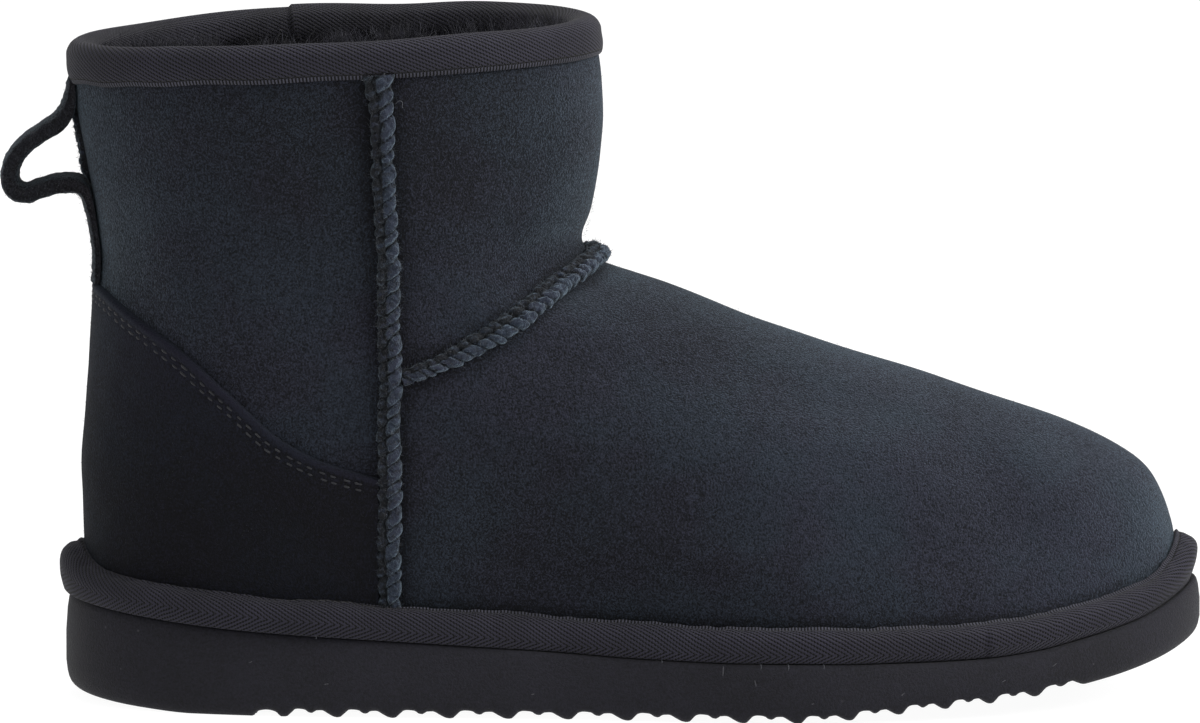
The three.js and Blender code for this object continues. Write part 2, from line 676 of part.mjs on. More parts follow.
function vampSeamGeometry() {
  const start = SIDE_SEAM_X + 0.8 * SEAM_WIDTH + GAP;
  const end = THROAT_X + 0.4 * SEAM_WIDTH; // in the crease between instep and shaft
  const rise = THROAT_HEIGHT - 0.15 * SEAM_WIDTH - VAMP_SEAM_HEIGHT;
  const line = curveOf(VAMP_SEAM, end - start, rise);
  const steps = 11;
  const crowding = 1.5; // steps get shorter towards the throat, where the line turns
  const oneSide = (medial) =>
    range(steps).map((i) => {
      const x = mix(start, end, 1 - (1 - i / steps) ** crowding);
      return placeOnSide(x, VAMP_SEAM_HEIGHT + line(x - start), medial);
    });
  const ridge = placeOnSide(end, VAMP_SEAM_HEIGHT + rise, false);
  return seamGeometry([...oneSide(false), { ...ridge, angle: Math.PI }, ...oneSide(true).reverse()]);
}

// The pull loop's line: share of LOOP_FALL below the collar tape, share of LOOP_REACH out from the
// skin, and its thickness as a share of LOOP_THICKNESS
const LOOP = [
  { fall: 0.012, out: 0, thick: 0.6 },
  { fall: 0.127, out: 0.01, thick: 0.85 },
  { fall: 0.198, out: 0.13, thick: 1 },
  { fall: 0.248, out: 0.345, thick: 1 },
  { fall: 0.305, out: 0.592, thick: 1 },
  { fall: 0.372, out: 0.79, thick: 1 },
  { fall: 0.446, out: 0.905, thick: 1 },
  { fall: 0.513, out: 0.942, thick: 1 },
  { fall: 0.556, out: 0.875, thick: 1 },
  { fall: 0.566, out: 0.737, thick: 1 },
  { fall: 0.543, out: 0.542, thick: 1 },
  { fall: 0.519, out: 0.337, thick: 1 },
  { fall: 0.516, out: 0.15, thick: 0.9 },
  { fall: 0.542, out: 0.035, thick: 0.76 },
  { fall: 0.6, out: 0, thick: 0.55 },
  { fall: 0.7, out: 0, thick: 0.5 },
  { fall: 0.85, out: 0, thick: 0.5 },
  { fall: 1, out: 0, thick: 0.5 },
];
const LOOP_ACROSS = [-0.5, 0, 0.5]; // places across the strap, as shares of LOOP_WIDTH

// Level of the back of the upper at a height
const backLevel = (z) => solve((level) => skin(0, level).z - z, 0, 1);
const LOOP_TOP = skin(0, 1).z - tapeDepth(0) - GAP;
const LOOP_FALL = LOOP_TOP - COUNTER_HEIGHT - 2 * GAP; // the loop's tail ends over the counter

function loopGeometry() {
  const line = new THREE.CatmullRomCurve3(
    LOOP.map(({ fall, out, thick }) => {
      const z = LOOP_TOP - fall * LOOP_FALL;
      const clear = OVERLAY_GAP + (thick * LOOP_THICKNESS) / 2;
      return new THREE.Vector3(skin(0, backLevel(z)).x - clear - out * LOOP_REACH, 0, z);
    }),
  );
  const steps = 2 * (LOOP.length - 1);
  const bendRadius = 0.3 * COLLAR_WIDTH; // of the shaft's back, seen from above
  const freeFrom = 0.25; // share of LOOP_REACH past which the strap no longer wraps round the shaft
  const edgeThickness = 0.7; // of the strap's thickness
  const rings = range(steps + 1).map((i) => {
    const row = Math.min(Math.floor(i / 2), LOOP.length - 2);
    const share = i / 2 - row;
    const half = (mix(LOOP[row].thick, LOOP[row + 1].thick, share) * LOOP_THICKNESS) / 2;
    const wrap = 1 - Math.min(1, mix(LOOP[row].out, LOOP[row + 1].out, share) / freeFrom);
    const centre = line.getPoint(i / steps);
    const tangent = line.getTangent(i / steps);
    const side = (sign) =>
      LOOP_ACROSS.map((share) => {
        const y = share * LOOP_WIDTH;
        const thin = Math.abs(share) < 0.5 ? 1 : edgeThickness;
        return new THREE.Vector3(
          centre.x - tangent.z * sign * half * thin + (wrap * y * y) / (2 * bendRadius),
          y,
          centre.z + tangent.x * sign * half * thin,
        );
      });
    return [...side(1), ...side(-1).reverse()];
  });
  return geometryFromRings(rings);
}

// The seam up the back, where the loop leaves it bare
function backSeamGeometry() {
  const loopHeight = (row) => LOOP_TOP - LOOP[row].fall * LOOP_FALL;
  const [high, low] = [loopHeight(2), loopHeight(12) + 0.7 * LOOP_THICKNESS];
  const places = range(7).map((i) => ({ angle: 0, level: backLevel(mix(low, high, i / 6)) }));
  return seamGeometry(places, BACK_SEAM_SCALE);
}

// Colours and finishes
const material = (color, roughness) => new THREE.MeshStandardMaterial({ color, roughness, metalness: 0 });
const suede = material(0x262c35, 0.95);
const counterSuede = material(0x15171b, 0.95);
const seamSuede = material(0x2e3843, 0.95);
const tape = material(0x24242b, 0.85);
const foam = material(0x222126, 0.7);
const wool = material(0x15161a, 1);

const boot = new THREE.Group();
boot.position.x = -HEEL_CENTRE;
const pieces = {
  outsole: [outsoleGeometry(), foam],
  insole: [insoleGeometry(), wool],
  rand_binding: [randGeometry(), tape],
  upper: [upperGeometry(), suede],
  heel_counter: [counterGeometry(), counterSuede],
  side_seam_lateral: [sideSeamGeometry(false), seamSuede],
  side_seam_medial: [sideSeamGeometry(true), seamSuede],
  vamp_seam: [vampSeamGeometry(), seamSuede],
  back_seam: [backSeamGeometry(), seamSuede],
  collar_binding: [collarGeometry(), tape],
  pull_loop: [loopGeometry(), counterSuede],
};
for (const [name, [geometry, finish]] of Object.entries(pieces)) {
  const mesh = new THREE.Mesh(geometry, finish);
  mesh.name = name;
  boot.add(mesh);
}

export default boot;
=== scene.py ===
import bpy
import numpy as np
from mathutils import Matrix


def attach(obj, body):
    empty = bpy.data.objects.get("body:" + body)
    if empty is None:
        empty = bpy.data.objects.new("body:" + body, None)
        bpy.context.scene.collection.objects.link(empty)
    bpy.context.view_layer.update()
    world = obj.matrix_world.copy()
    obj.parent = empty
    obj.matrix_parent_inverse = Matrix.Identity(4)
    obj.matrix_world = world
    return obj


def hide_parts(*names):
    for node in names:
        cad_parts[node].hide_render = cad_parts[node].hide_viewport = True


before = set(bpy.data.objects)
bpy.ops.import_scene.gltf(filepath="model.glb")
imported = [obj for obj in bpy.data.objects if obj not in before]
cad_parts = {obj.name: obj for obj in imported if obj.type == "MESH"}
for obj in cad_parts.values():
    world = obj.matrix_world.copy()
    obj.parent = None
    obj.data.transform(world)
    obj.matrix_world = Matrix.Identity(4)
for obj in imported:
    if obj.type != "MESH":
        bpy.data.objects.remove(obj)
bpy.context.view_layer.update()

# Driving sizes of the foot and the shaft
SOLE_LENGTH = 284
SOLE_MARGIN = 6.6  # how far the sole stands out past the upper
BALL_WIDTH = 94
THROAT_HEIGHT = 112
COLLAR_HEIGHT = 165
COLLAR_LENGTH = 131
COLLAR_WIDTH = 92
COLLAR_ARCH = 1
SIDE_SAG = 3.2
WALL = 3
GAP = 0.3
HEEL_HEIGHT = 26.3
TOE_SPRING = 15.5
SOLE_TOP_MARGIN = 5.4
SOLE_EDGE_MARGIN = 4.6
HEEL_CENTRE = 40
INSOLE_THICKNESS = 5

# Tread
TREAD_START = 54
TREAD_LENGTH = 198
TREAD_CELLS = 15
TREAD_DRIFT = 10.4
TREAD_DEPTH = 2
TREAD_ZIGZAG = 2.6
FIRST_GROOVE = 4.6  # a lone groove this far before the first rib
FIRST_GROOVE_HALF = 3.3

# Woven tape round the sole and the collar
RAND_HEIGHT = 8.9
RAND_HEEL_RISE = 5
RAND_TOE_RISE = 5.6
RAND_DEPTH = 5.9
TAPE_DEPTH = 5.6
TAPE_BACK_DROP = 1
TAPE_RISE = 3.8
TAPE_BULGE = 2.1
WOOL_ROLL = 4.6
SELVEDGE = 1.35  # height of the ladder stitch at the tape's edge
LADDER_PITCH = 0.84
TWILL_PITCH = 0.9
DOT_PITCH = 0.76
RAND_FLIP = 9.6  # distance from the rand's top edge at which its twill turns
COLLAR_FLIP = -60  # the collar's twill doesn't turn
RAND_HIDDEN = 1.1  # part of the tape tucked behind its top edge
COLLAR_HIDDEN = 1.3
COLLAR_JOINT_X = 55.5  # where the collar tape's ends overlap, on the medial side
RAND_JOINT_X = 230  # where the rand tape's ends overlap, on the lateral side

# Counter, raised seams and pull loop
COUNTER_THICKNESS = 1.7
COUNTER_HEIGHT = 104.3
COUNTER_FRONT_HEIGHT = 60
SEAM_WIDTH = 6.6
SEAM_HEIGHT = 2.4
SEAM_TUCK_BELOW = 1.5  # how far the side seams run in under the rand
SEAM_TUCK_ABOVE = 1  # and under the collar's tape
LEVEL_NEAR_RAND = 20 / 59  # between the sole at 0 and the collar at 1
BACK_SEAM_SCALE = 0.62
BACK_LUMP_PITCH = 2.9
SEAM_SPLIT = -0.12  # the valley between a seam's two rows, as a share of its width
LUMP_PITCH = 3.9  # from bead to bead
SIDE_SEAM_X = 82
VAMP_SEAM_HEIGHT = 86
VAMP_LUMP_PITCH = 0.8 * LUMP_PITCH
VAMP_TUCK = 2.6  # how far the seam over the instep starts inside the side seam
LOOP_REACH = 18.4
LOOP_WIDTH = 14
LOOP_THICKNESS = 4.4
STITCH_LENGTH = 2.3
STITCH_PITCH = 3.1
STITCH_RADIUS = 0.25
STITCH_SINK = 0.38  # how far a stitch's ends lie under the counter's face
STITCH_BOW = 0.3  # how far its middle stands out again

# Fleece and loose fibres
PILE = 3.6  # pressed wool between the wall and the foot
ROOT_DEPTH = 0.8  # how deep in the wool its hairs start
HAIR_WIDTH = 0.16
LINING_HAIRS = 38000
LINING_HAIR_LENGTH = 5.5
INSOLE_HAIRS = 14000
INSOLE_HAIR_LENGTH = 4.2
RIM_HAIRS = 5600
RIM_HAIR_LENGTH = 1.8
RIM_HAIR_WIDTH = 0.12
TUFT_LENGTH = 7
SUEDE_FIBRES = 16000
SUEDE_FIBRE_WIDTH = 0.05
SEAM_FIBRES = 11000
SEAM_FIBRE_WIDTH = 0.08
LOOP_FIBRES = 5200
LOOP_FIBRE_WIDTH = 0.055
FIBRE_CURL = 0.8
THREAD_RADIUS = 0.06

# How finely the meshes are cut, the longer way first
UPPER_MESH = (420, 158)
RAND_MESH = (1240, 30)
COLLAR_MESH = (860, 40)
SOLE_WALL_MESH = (1240, 22)
TREAD_ROWS = 50
COUNTER_MESH = (330, 63)  # besides the rows near its edge
FINE_STEPS = 1200  # for measuring round half a section
STITCH_POINTS = 6
SIDE_SEAM_POINTS = 400
VAMP_SEAM_POINTS = 460
BACK_SEAM_MESH = (130, 22)
LOOP_MESH = (260, 56)
LINING_MESH = (300, 150)
INSOLE_MESH = (300, 70)

TURN = 2 * np.pi
SLOPE_STEP = 1e-3  # of angle and level
HALVINGS = 36  # of the span in which a place is sought
SMOOTHINGS = 12  # of the line of the seam over the instep
UPPER_BACK = 0.96 * SOLE_MARGIN
UPPER_LENGTH = SOLE_LENGTH - 2 * UPPER_BACK
UPPER_TOE = UPPER_BACK + UPPER_LENGTH
THROAT_X = UPPER_BACK + 0.95 * COLLAR_LENGTH

# Top of the sole: shares of SOLE_LENGTH, shares of HEEL_HEIGHT
SOLE_TOP = (
    (0, 0.03, 0.09, 0.14, 0.205, 0.31, 0.42, 0.515, 0.6, 0.735, 0.8, 0.85, 0.9, 0.94, 0.97, 1),
    (1, 0.95, 0.875, 0.82, 0.775, 0.71, 0.64, 0.578, 0.557, 0.557, 0.571, 0.617, 0.719, 0.82, 0.95, 1.12),
)
# Underside of the sole: shares of SOLE_LENGTH, shares of TOE_SPRING
SOLE_BOTTOM = (
    (0, 0.03, 0.07, 0.115, 0.655, 0.7, 0.76, 0.815, 0.85, 0.89, 0.93, 0.965, 1),
    (0.2, 0.12, 0.05, 0, 0, 0.075, 0.18, 0.26, 0.325, 0.45, 0.59, 0.76, 1),
)
# Sideways curve of the last: shares of UPPER_LENGTH, shares of BALL_WIDTH
SWING = ((0, 0.15, 0.42, 0.65, 0.85, 1), (0, 0, -0.028, -0.013, 0.026, 0.062))

# The upper's sections from the sole to the collar: rear end as a share of UPPER_LENGTH, front end as a
# share of the way from throat to toe, their heights (0 to 1 up to the throat, 1 to 2 to the collar),
# sag with the top of the sole, and 0 for foot sizes or 1 for shaft sizes. The first two lie on the sole.
SECTION_ENDS = (
    (0.0037, 0.992, 0, 0, 1, 0),
    (0.0007, 1, 0, 0, 1, 0),
    (-0.0007, 0.978, 0.446, 0.446, 0.75, 0),
    (-0.0015, 0.927, 0.518, 0.531, 0.5, 0),
    (0.0004, 0.811, 0.598, 0.6125, 0.28, 0),
    (0.0033, 0.607, 0.679, 0.703, 0.12, 0),
    (0.0059, 0.369, 0.768, 0.808, 0.04, 0),
    (0.0077, 0.185, 0.848, 0.895, 0, 0),
    (0.0092, 0.0595, 0.92, 0.9536, 0, 0.1),
    (0.0107, 0, 0.991, 1.03, 0, 0.3),
    (0.006, 0.008, 1.179, 1.198, 0, 0.6),
    (-0.003, 0.0194, 1.434, 1.472, 0, 1),
    (-0.012, 0.0235, 1.7075, 1.783, 0, 1),
    (-0.0137, 0.0092, 1.92, 2.034, 0, 1),
)
# Half-widths of the same sections at WIDTH_ANGLES, as shares of BALL_WIDTH or COLLAR_WIDTH
SECTION_WIDTHS = (
    (0.69, 0.503, 0.397, 0.53, 0.607, 0.65),
    (0.702, 0.512, 0.404, 0.539, 0.617, 0.66),
    (0.7, 0.524, 0.432, 0.545, 0.54, 0.6),
    (0.697, 0.535, 0.448, 0.521, 0.49, 0.47),
    (0.669, 0.541, 0.453, 0.487, 0.43, 0.378),
    (0.619, 0.534, 0.456, 0.441, 0.393, 0.366),
    (0.557, 0.523, 0.457, 0.41, 0.375, 0.351),
    (0.504, 0.509, 0.453, 0.415, 0.352, 0.33),
    (0.463, 0.497, 0.453, 0.436, 0.362, 0.34),
    (0.441, 0.492, 0.459, 0.461, 0.411, 0.385),
    (0.452, 0.489, 0.468, 0.473, 0.452, 0.435),
    (0.467, 0.495, 0.484, 0.487, 0.473, 0.462),
    (0.478, 0.5, 0.495, 0.495, 0.484, 0.473),
    (0.484, 0.505, 0.5, 0.5, 0.489, 0.478),
)
WIDTH_ANGLES = np.radians((0, 45, 80, 112, 145, 180))
RAND_LEVEL = 1 / (len(SECTION_ENDS) - 1)


def mix(a, b, share):
    return a + (b - a) * share


def smooth(x, low, high):
    s = np.clip((x - low) / (high - low), 0, 1)
    return s * s * (3 - 2 * s)


def cubic(xs, ys, x, flat_ends=False):
    """Cubic through (xs, ys) that never overshoots them. ys may hold a row for each x."""
    xs = np.asarray(xs, float)
    ys = np.asarray(ys, float)
    x = np.asarray(x, float)
    steps = np.diff(ys, axis=-1) / np.diff(xs)
    before, after = steps[..., :-1], steps[..., 1:]
    rising = before * after > 0
    inner = np.where(rising, 2 * before * after / np.where(rising, before + after, 1), 0)
    first = 0 * steps[..., :1] if flat_ends else steps[..., :1]
    last = 0 * steps[..., -1:] if flat_ends else steps[..., -1:]
    slopes = np.concatenate([first, inner, last], -1)
    at = np.clip(x, xs[0], xs[-1])
    i = np.searchsorted(xs[1:-1], at)

    def pick(values, where):
        if values.ndim == 1:
            return values[where]
        return np.take_along_axis(values, where[..., None], -1)[..., 0]

    run = xs[i + 1] - xs[i]
    s = (at - xs[i]) / run
    y0, y1, m0, m1 = pick(ys, i), pick(ys, i + 1), pick(slopes, i), pick(slopes, i + 1)
    inside = mix(y0, y1, s * s * (3 - 2 * s)) + run * (m0 * s * (1 - s) ** 2 - m1 * s * s * (1 - s))
    return inside + (x - at) * np.where(x < at, slopes[..., 0], slopes[..., -1])


def curve_of(table, length, height):
    xs, ys = np.array(table[0]) * length, np.array(table[1]) * height
    return lambda x: cubic(xs, ys, x)


def with_ends(rows):
    """The rows with one more at each end, straight on."""
    return np.vstack([2 * rows[0] - rows[1], rows, 2 * rows[-1] - rows[-2]])


def catmull_rom(rows, at):
    """A smooth line through rows made by with_ends, at places counted in rows."""
    last = len(rows) - 3
    i = np.clip(np.floor(at).astype(int), 0, last - 1)
    s = (at - i)[..., None]
    p0, p1, p2, p3 = rows[i], rows[i + 1], rows[i + 2], rows[i + 3]
    return p1 + 0.5 * s * (p2 - p0 + s * (2 * p0 - 5 * p1 + 4 * p2 - p3 + s * (3 * (p1 - p2) + p3 - p0)))


def smooth_line(points, count):
    """Points at even steps along a smooth line through a few."""
    return catmull_rom(with_ends(points), np.linspace(0, len(points) - 1, count))


def run_lengths(points, axis=0):
    """Distance travelled along an axis of a line or a grid."""
    steps = np.linalg.norm(np.diff(points, axis=axis), axis=-1)
    return np.concatenate([np.zeros_like(np.take(steps, [0], axis)), np.cumsum(steps, axis)], axis)


sole_top = curve_of(SOLE_TOP, SOLE_LENGTH, HEEL_HEIGHT)
sole_bottom = curve_of(SOLE_BOTTOM, SOLE_LENGTH, TOE_SPRING)
swing_over_foot = curve_of(SWING, UPPER_LENGTH, BALL_WIDTH)


def rand_height(angle):
    rise = mix(RAND_HEEL_RISE, RAND_TOE_RISE, (1 - np.cos(angle)) / 2)
    return RAND_HEIGHT + rise * np.cos(angle) ** 60


def tape_depth(angle):
    return TAPE_DEPTH + TAPE_BACK_DROP * np.maximum(0, np.cos(angle)) ** 4


def rise_height(rise):
    return np.where(rise <= 1, rise * THROAT_HEIGHT, mix(THROAT_HEIGHT, COLLAR_HEIGHT, rise - 1))


def sized_sections():
    """The sections in real sizes: back, front, their heights, sag, foot share and half-widths."""
    back_share, front_share, back_rise, front_rise, follow, shaft = np.array(SECTION_ENDS).T
    back = UPPER_BACK + back_share * UPPER_LENGTH
    front = mix(THROAT_X, UPPER_TOE, front_share)
    back_z = rise_height(back_rise)
    front_z = rise_height(front_rise)
    for i, height in ((0, GAP), (1, RAND_HEIGHT + SIDE_SAG)):
        back_z[i] = sole_top(back[i]) + height
        front_z[i] = sole_top(front[i]) + height
    widths = np.array(SECTION_WIDTHS) * mix(BALL_WIDTH, COLLAR_WIDTH, shaft)[:, None]
    return with_ends(np.column_stack([back, front, back_z, front_z, follow, 1 - shaft, widths]))


SIZED = sized_sections()


def sections_at(level):
    return catmull_rom(SIZED, level * (len(SIZED) - 3))


def skin(angle, level):
    """The outside of the upper. The angle runs from the back, by the lateral side, to the front at pi."""
    angle, level = np.broadcast_arrays(np.asarray(angle, float), np.asarray(level, float))
    rows = sections_at(level)
    back, front, back_z, front_z, follow, foot = np.moveaxis(rows[..., :6], -1, 0)
    share = (1 - np.cos(angle)) / 2
    x = mix(back, front, share)
    half = np.sin(angle) * cubic(WIDTH_ANGLES, rows[..., 6:], np.arccos(np.cos(angle)), True)
    y = swing_over_foot(x - UPPER_BACK) * foot - half
    sag = sole_top(x) - mix(sole_top(back), sole_top(front), share)
    side_dip = np.where(level < RAND_LEVEL, level / RAND_LEVEL, follow)
    arch = COLLAR_ARCH * smooth(level, 0.8, 1) * np.sin(angle) ** 2
    z = mix(back_z, front_z, share) + follow * sag - side_dip * SIDE_SAG * (1 - np.cos(angle) ** 4) + arch
    return np.stack([x, y, z], -1)


def unit(v):
    return v / np.maximum(np.linalg.norm(v, axis=-1, keepdims=True), 1e-12)


def slopes_at(angle, level):
    angle, level = np.broadcast_arrays(np.asarray(angle, float), np.asarray(level, float))
    low, high = np.maximum(level - SLOPE_STEP, 0), np.minimum(level + SLOPE_STEP, 1)
    around = (skin(angle + SLOPE_STEP, level) - skin(angle - SLOPE_STEP, level)) / (2 * SLOPE_STEP)
    up = (skin(angle, high) - skin(angle, low)) / (high - low)[..., None]
    return around, up


def normal_at(angle, level):
    return unit(np.cross(*slopes_at(angle, level)))


def plan_normal(angle, level):
    """The outward direction seen from above."""
    around, _ = slopes_at(angle, level)
    return unit(np.stack([around[..., 1], -around[..., 0], 0 * around[..., 0]], -1))


def off_skin(angle, level, out):
    return skin(angle, level) + normal_at(angle, level) * np.asarray(out)[..., None]


def off_plan(angle, level, out):
    return skin(angle, level) + plan_normal(angle, level) * np.asarray(out)[..., None]


def solve(rising, low, high, like):
    """The values from low to high at which a rising function reaches zero, one for each of like."""
    low = np.broadcast_to(np.asarray(low, float), np.shape(like)).copy()
    high = np.broadcast_to(np.asarray(high, float), np.shape(like)).copy()
    for _ in range(HALVINGS):
        middle = (low + high) / 2
        below = rising(middle) < 0
        low = np.where(below, middle, low)
        high = np.where(below, high, middle)
    return (low + high) / 2


def level_over_sole(angle, height):
    def rising(level):
        p = skin(angle, level)
        return p[..., 2] - sole_top(p[..., 0]) - height

    return solve(rising, 0, 0.6, np.broadcast_arrays(angle, height)[0])


def level_below_collar(angle, depth):
    top = skin(angle, 1)[..., 2]
    return solve(lambda level: skin(angle, level)[..., 2] - top + depth, 0.3, 1, top)


def angle_at_length(x, level):
    rows = sections_at(np.asarray(level, float))
    return np.arccos(np.clip(1 - 2 * (x - rows[..., 0]) / (rows[..., 1] - rows[..., 0]), -1, 1))


def place_on_side(x, z, medial=False):
    """Angle and level of points of the side view."""
    x, z = np.broadcast_arrays(np.asarray(x, float), np.asarray(z, float))
    level = solve(lambda l: skin(angle_at_length(x, l), l)[..., 2] - z, 0, 1, x)
    angle = angle_at_length(x, level)
    return (TURN - angle if medial else angle), level


def nearest_place(point, angle, level):
    """The place on the skin nearest to each point, from places close by."""
    for _ in range(4):
        miss = point - skin(angle, level)
        around, up = slopes_at(angle, level)
        aa, au, uu = (around * around).sum(-1), (around * up).sum(-1), (up * up).sum(-1)
        ma, mu = (miss * around).sum(-1), (miss * up).sum(-1)
        det = aa * uu - au * au
        angle = angle + (ma * uu - mu * au) / det
        level = np.clip(level + (mu * aa - ma * au) / det, 0, 1)
    return angle, level


def even_angles(count, level):
    """Angles at about equal distances round a level, the same on both sides."""
    fine = np.linspace(0, np.pi, FINE_STEPS)
    run = run_lengths(skin(fine, level)) + run_lengths(skin(-fine, level))
    half = np.interp(np.linspace(0, run[-1], count // 2 + 1), run, fine)
    return np.concatenate([half, TURN - half[-2:0:-1]])


def ripple(points, size, seed, count=7):
    """Smooth uneven waves, about size long and mostly within -1 to 1."""
    random = np.random.default_rng(seed)
    directions = unit(random.normal(size=(count, 3)))
    lengths = size * random.uniform(0.7, 1.5, count)
    phases = random.uniform(0, TURN, count)
    waves = np.sin(points @ (TURN * directions / lengths[:, None]).T + phases)
    return waves.sum(-1) / np.sqrt(count)


# Meshes
def in_frame(points):
    moved = np.asarray(points, float).reshape(-1, 3).copy()
    moved[:, 0] -= HEEL_CENTRE
    return moved / 1000


def add_object(name, data):
    obj = bpy.data.objects.new(name, data)
    bpy.context.scene.collection.objects.link(obj)
    return obj


def make_mesh(name, points, faces, material):
    mesh = bpy.data.meshes.new(name)
    mesh.from_pydata(in_frame(points), [], faces)
    mesh.polygons.foreach_set("use_smooth", np.ones(len(mesh.polygons), bool))
    mesh.materials.append(material)
    mesh.update()
    obj = add_object(name, mesh)
    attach(obj, "root")
    return obj


def grid_faces(rows, cols, closed):
    """Corners of a grid's quads, and the corners of the same quads in its table of UVs."""
    r = np.arange(rows - 1)[:, None]
    c = np.arange(cols if closed else cols - 1)[None, :]
    wide = cols + 1 if closed else cols
    after = (c + 1) % cols
    corners = np.stack([r * cols + c, r * cols + after, (r + 1) * cols + after, (r + 1) * cols + c], -1)
    places = np.stack([r * wide + c, r * wide + c + 1, (r + 1) * wide + c + 1, (r + 1) * wide + c], -1)
    return corners.reshape(-1, 4), places.reshape(-1, 4)


def make_grid(name, points, material, closed=True, flip=False, uv=None, tone=None, caps=False):
    """A mesh from rows of points. Closed, the columns run round, and uv has one column more than points.

    uv holds millimetres along and across, tone lightens or darkens the colour, with painted shade and light
    among it, and caps closes the end rows.
    """
    rows, cols = points.shape[:2]
    corners, places = grid_faces(rows, cols, closed)
    if flip:
        corners, places = corners[:, ::-1], places[:, ::-1]
    ends = [list(range(cols))[::-1], list(range((rows - 1) * cols, rows * cols))] if caps else []
    obj = make_mesh(name, points, corners.tolist() + ends, material)
    if uv is not None:
        layer = obj.data.uv_layers.new(name="UVMap")
        layer.data.foreach_set("uv", uv.reshape(-1, 2)[places.ravel()].astype(np.float32).ravel())
    if tone is not None:
        values = obj.data.attributes.new("tone", "FLOAT", "POINT")
        values.data.foreach_set("value", np.asarray(tone, np.float32).ravel())
    return obj


def ring_uv(points, hidden):
    """Millimetres round and across a closed grid, whose first few across are hidden."""
    closed = np.concatenate([points, points[:, :1]], 1)
    along = np.broadcast_to(run_lengths(closed[len(points) // 2]), closed.shape[:2])
    return np.stack([along, run_lengths(closed) - hidden], -1)


def tubes(name, paths, radius, material, sides=6):
    """Round threads along paths, each an array of points. They taper at both ends."""
    points, faces, base = [], [], 0
    turn = (np.arange(sides) * TURN / sides)[None, :, None]
    for path in paths:
        count = len(path)
        tangent = unit(np.gradient(path, axis=0))
        helper = np.where(np.abs(tangent[:, 2:]) < 0.8, [[0, 0, 1.0]], [[1.0, 0, 0]])
        side = unit(np.cross(tangent, helper))
        other = np.cross(tangent, side)
        thick = radius * np.sqrt(np.clip(1 - np.linspace(-1, 1, count) ** 8, 0.08, 1))
        ring = side[:, None] * np.cos(turn) + other[:, None] * np.sin(turn)
        points.append((path[:, None] + ring * thick[:, None, None]).reshape(-1, 3))
        faces += (grid_faces(count, sides, True)[0] + base).tolist()
        faces.append([base + i for i in range(sides)][::-1])
        faces.append([base + (count - 1) * sides + i for i in range(sides)])
        base += count * sides
    return make_mesh(name, np.concatenate(points), faces, material)


def hairs(name, roots, directions, lengths, width, material, seed, curl=0.35):
    """Fine bent blades, each a narrow quad and a point."""
    random = np.random.default_rng(seed)
    count = len(roots)
    directions = unit(directions)
    side = unit(np.cross(directions, random.normal(size=(count, 3))))
    bend = unit(np.cross(directions, random.normal(size=(count, 3))))
    lengths = lengths[:, None]
    half = width * random.uniform(0.6, 1.3, (count, 1)) / 2
    middle = roots + directions * lengths * 0.55 + bend * lengths * curl * 0.35
    tip = roots + directions * lengths * 0.95 + bend * lengths * curl * random.uniform(0.2, 1.4, (count, 1))
    upper_half = 0.8 * half
    corners = [roots - side * half, roots + side * half, middle + side * upper_half, middle - side * upper_half]
    points = np.stack([*corners, tip], 1)
    base = np.arange(count)[:, None] * 5
    faces = (base + [0, 1, 2, 3]).tolist() + (base + [3, 2, 4]).tolist()
    return make_mesh(name, points, faces, material)


# Materials
class Shader:
    """A principled material with short ways to add nodes."""

    def __init__(self, name, **sockets):
        self.material = bpy.data.materials.new(name)
        self.material.use_nodes = True
        self.tree = self.material.node_tree
        self.surface = self.tree.nodes["Principled BSDF"]
        for socket, value in sockets.items():
            self.surface.inputs[socket.replace("_", " ")].default_value = value

    def node(self, kind, inputs=(), **settings):
        made = self.tree.nodes.new(kind)
        for name, value in settings.items():
            setattr(made, name, value)
        for key, value in dict(inputs).items():
            if isinstance(value, bpy.types.NodeSocket):
                self.tree.links.new(value, made.inputs[key])
            else:
                made.inputs[key].default_value = value
        return made

    def math(self, operation, a, b=0.0, c=0.0):
        return self.node("ShaderNodeMath", {0: a, 1: b, 2: c}, operation=operation).outputs[0]

    def plus(self, value, added, share=1.0):
        """value and a share of what is added."""
        return self.math("MULTIPLY_ADD", added, share, value)

    def place(self, stretch=1.0):
        place = self.node("ShaderNodeTexCoord").outputs["Object"]
        if stretch == 1.0:
            return place
        inputs = {0: place, 1: (1, 1, 1 / stretch)}
        return self.node("ShaderNodeVectorMath", inputs, operation="MULTIPLY").outputs[0]

    def noise(self, size, detail=2.0, rough=0.5, stretch=1.0):
        """Noise about size millimetres across, stretched upwards, from 0 to 1."""
        inputs = {"Vector": self.place(stretch), "Scale": 1000 / size, "Detail": detail, "Roughness": rough}
        return self.node("ShaderNodeTexNoise", inputs).outputs[0]

    def spread(self, value, low, high, to_low=0.0, to_high=1.0):
        inputs = {0: value, 1: low, 2: high, 3: to_low, 4: to_high}
        return self.node("ShaderNodeMapRange", inputs, interpolation_type="SMOOTHSTEP").outputs[0]

    def blend(self, share, a, b, kind="MIX"):
        inputs = {0: share, 6: a, 7: b}
        return self.node("ShaderNodeMix", inputs, data_type="RGBA", blend_type=kind).outputs[2]

    def tone(self):
        return self.node("ShaderNodeAttribute", attribute_name="tone").outputs["Fac"]

    def drive(self, name, socket):
        self.tree.links.new(socket, self.surface.inputs[name])

    def bump(self, height, distance, strength=1.0):
        """distance in millimetres."""
        inputs = {"Height": height, "Distance": distance / 1000, "Strength": strength}
        self.drive("Normal", self.node("ShaderNodeBump", inputs).outputs[0])


def shade(colour, factor):
    return (*(channel * factor for channel in colour), 1)


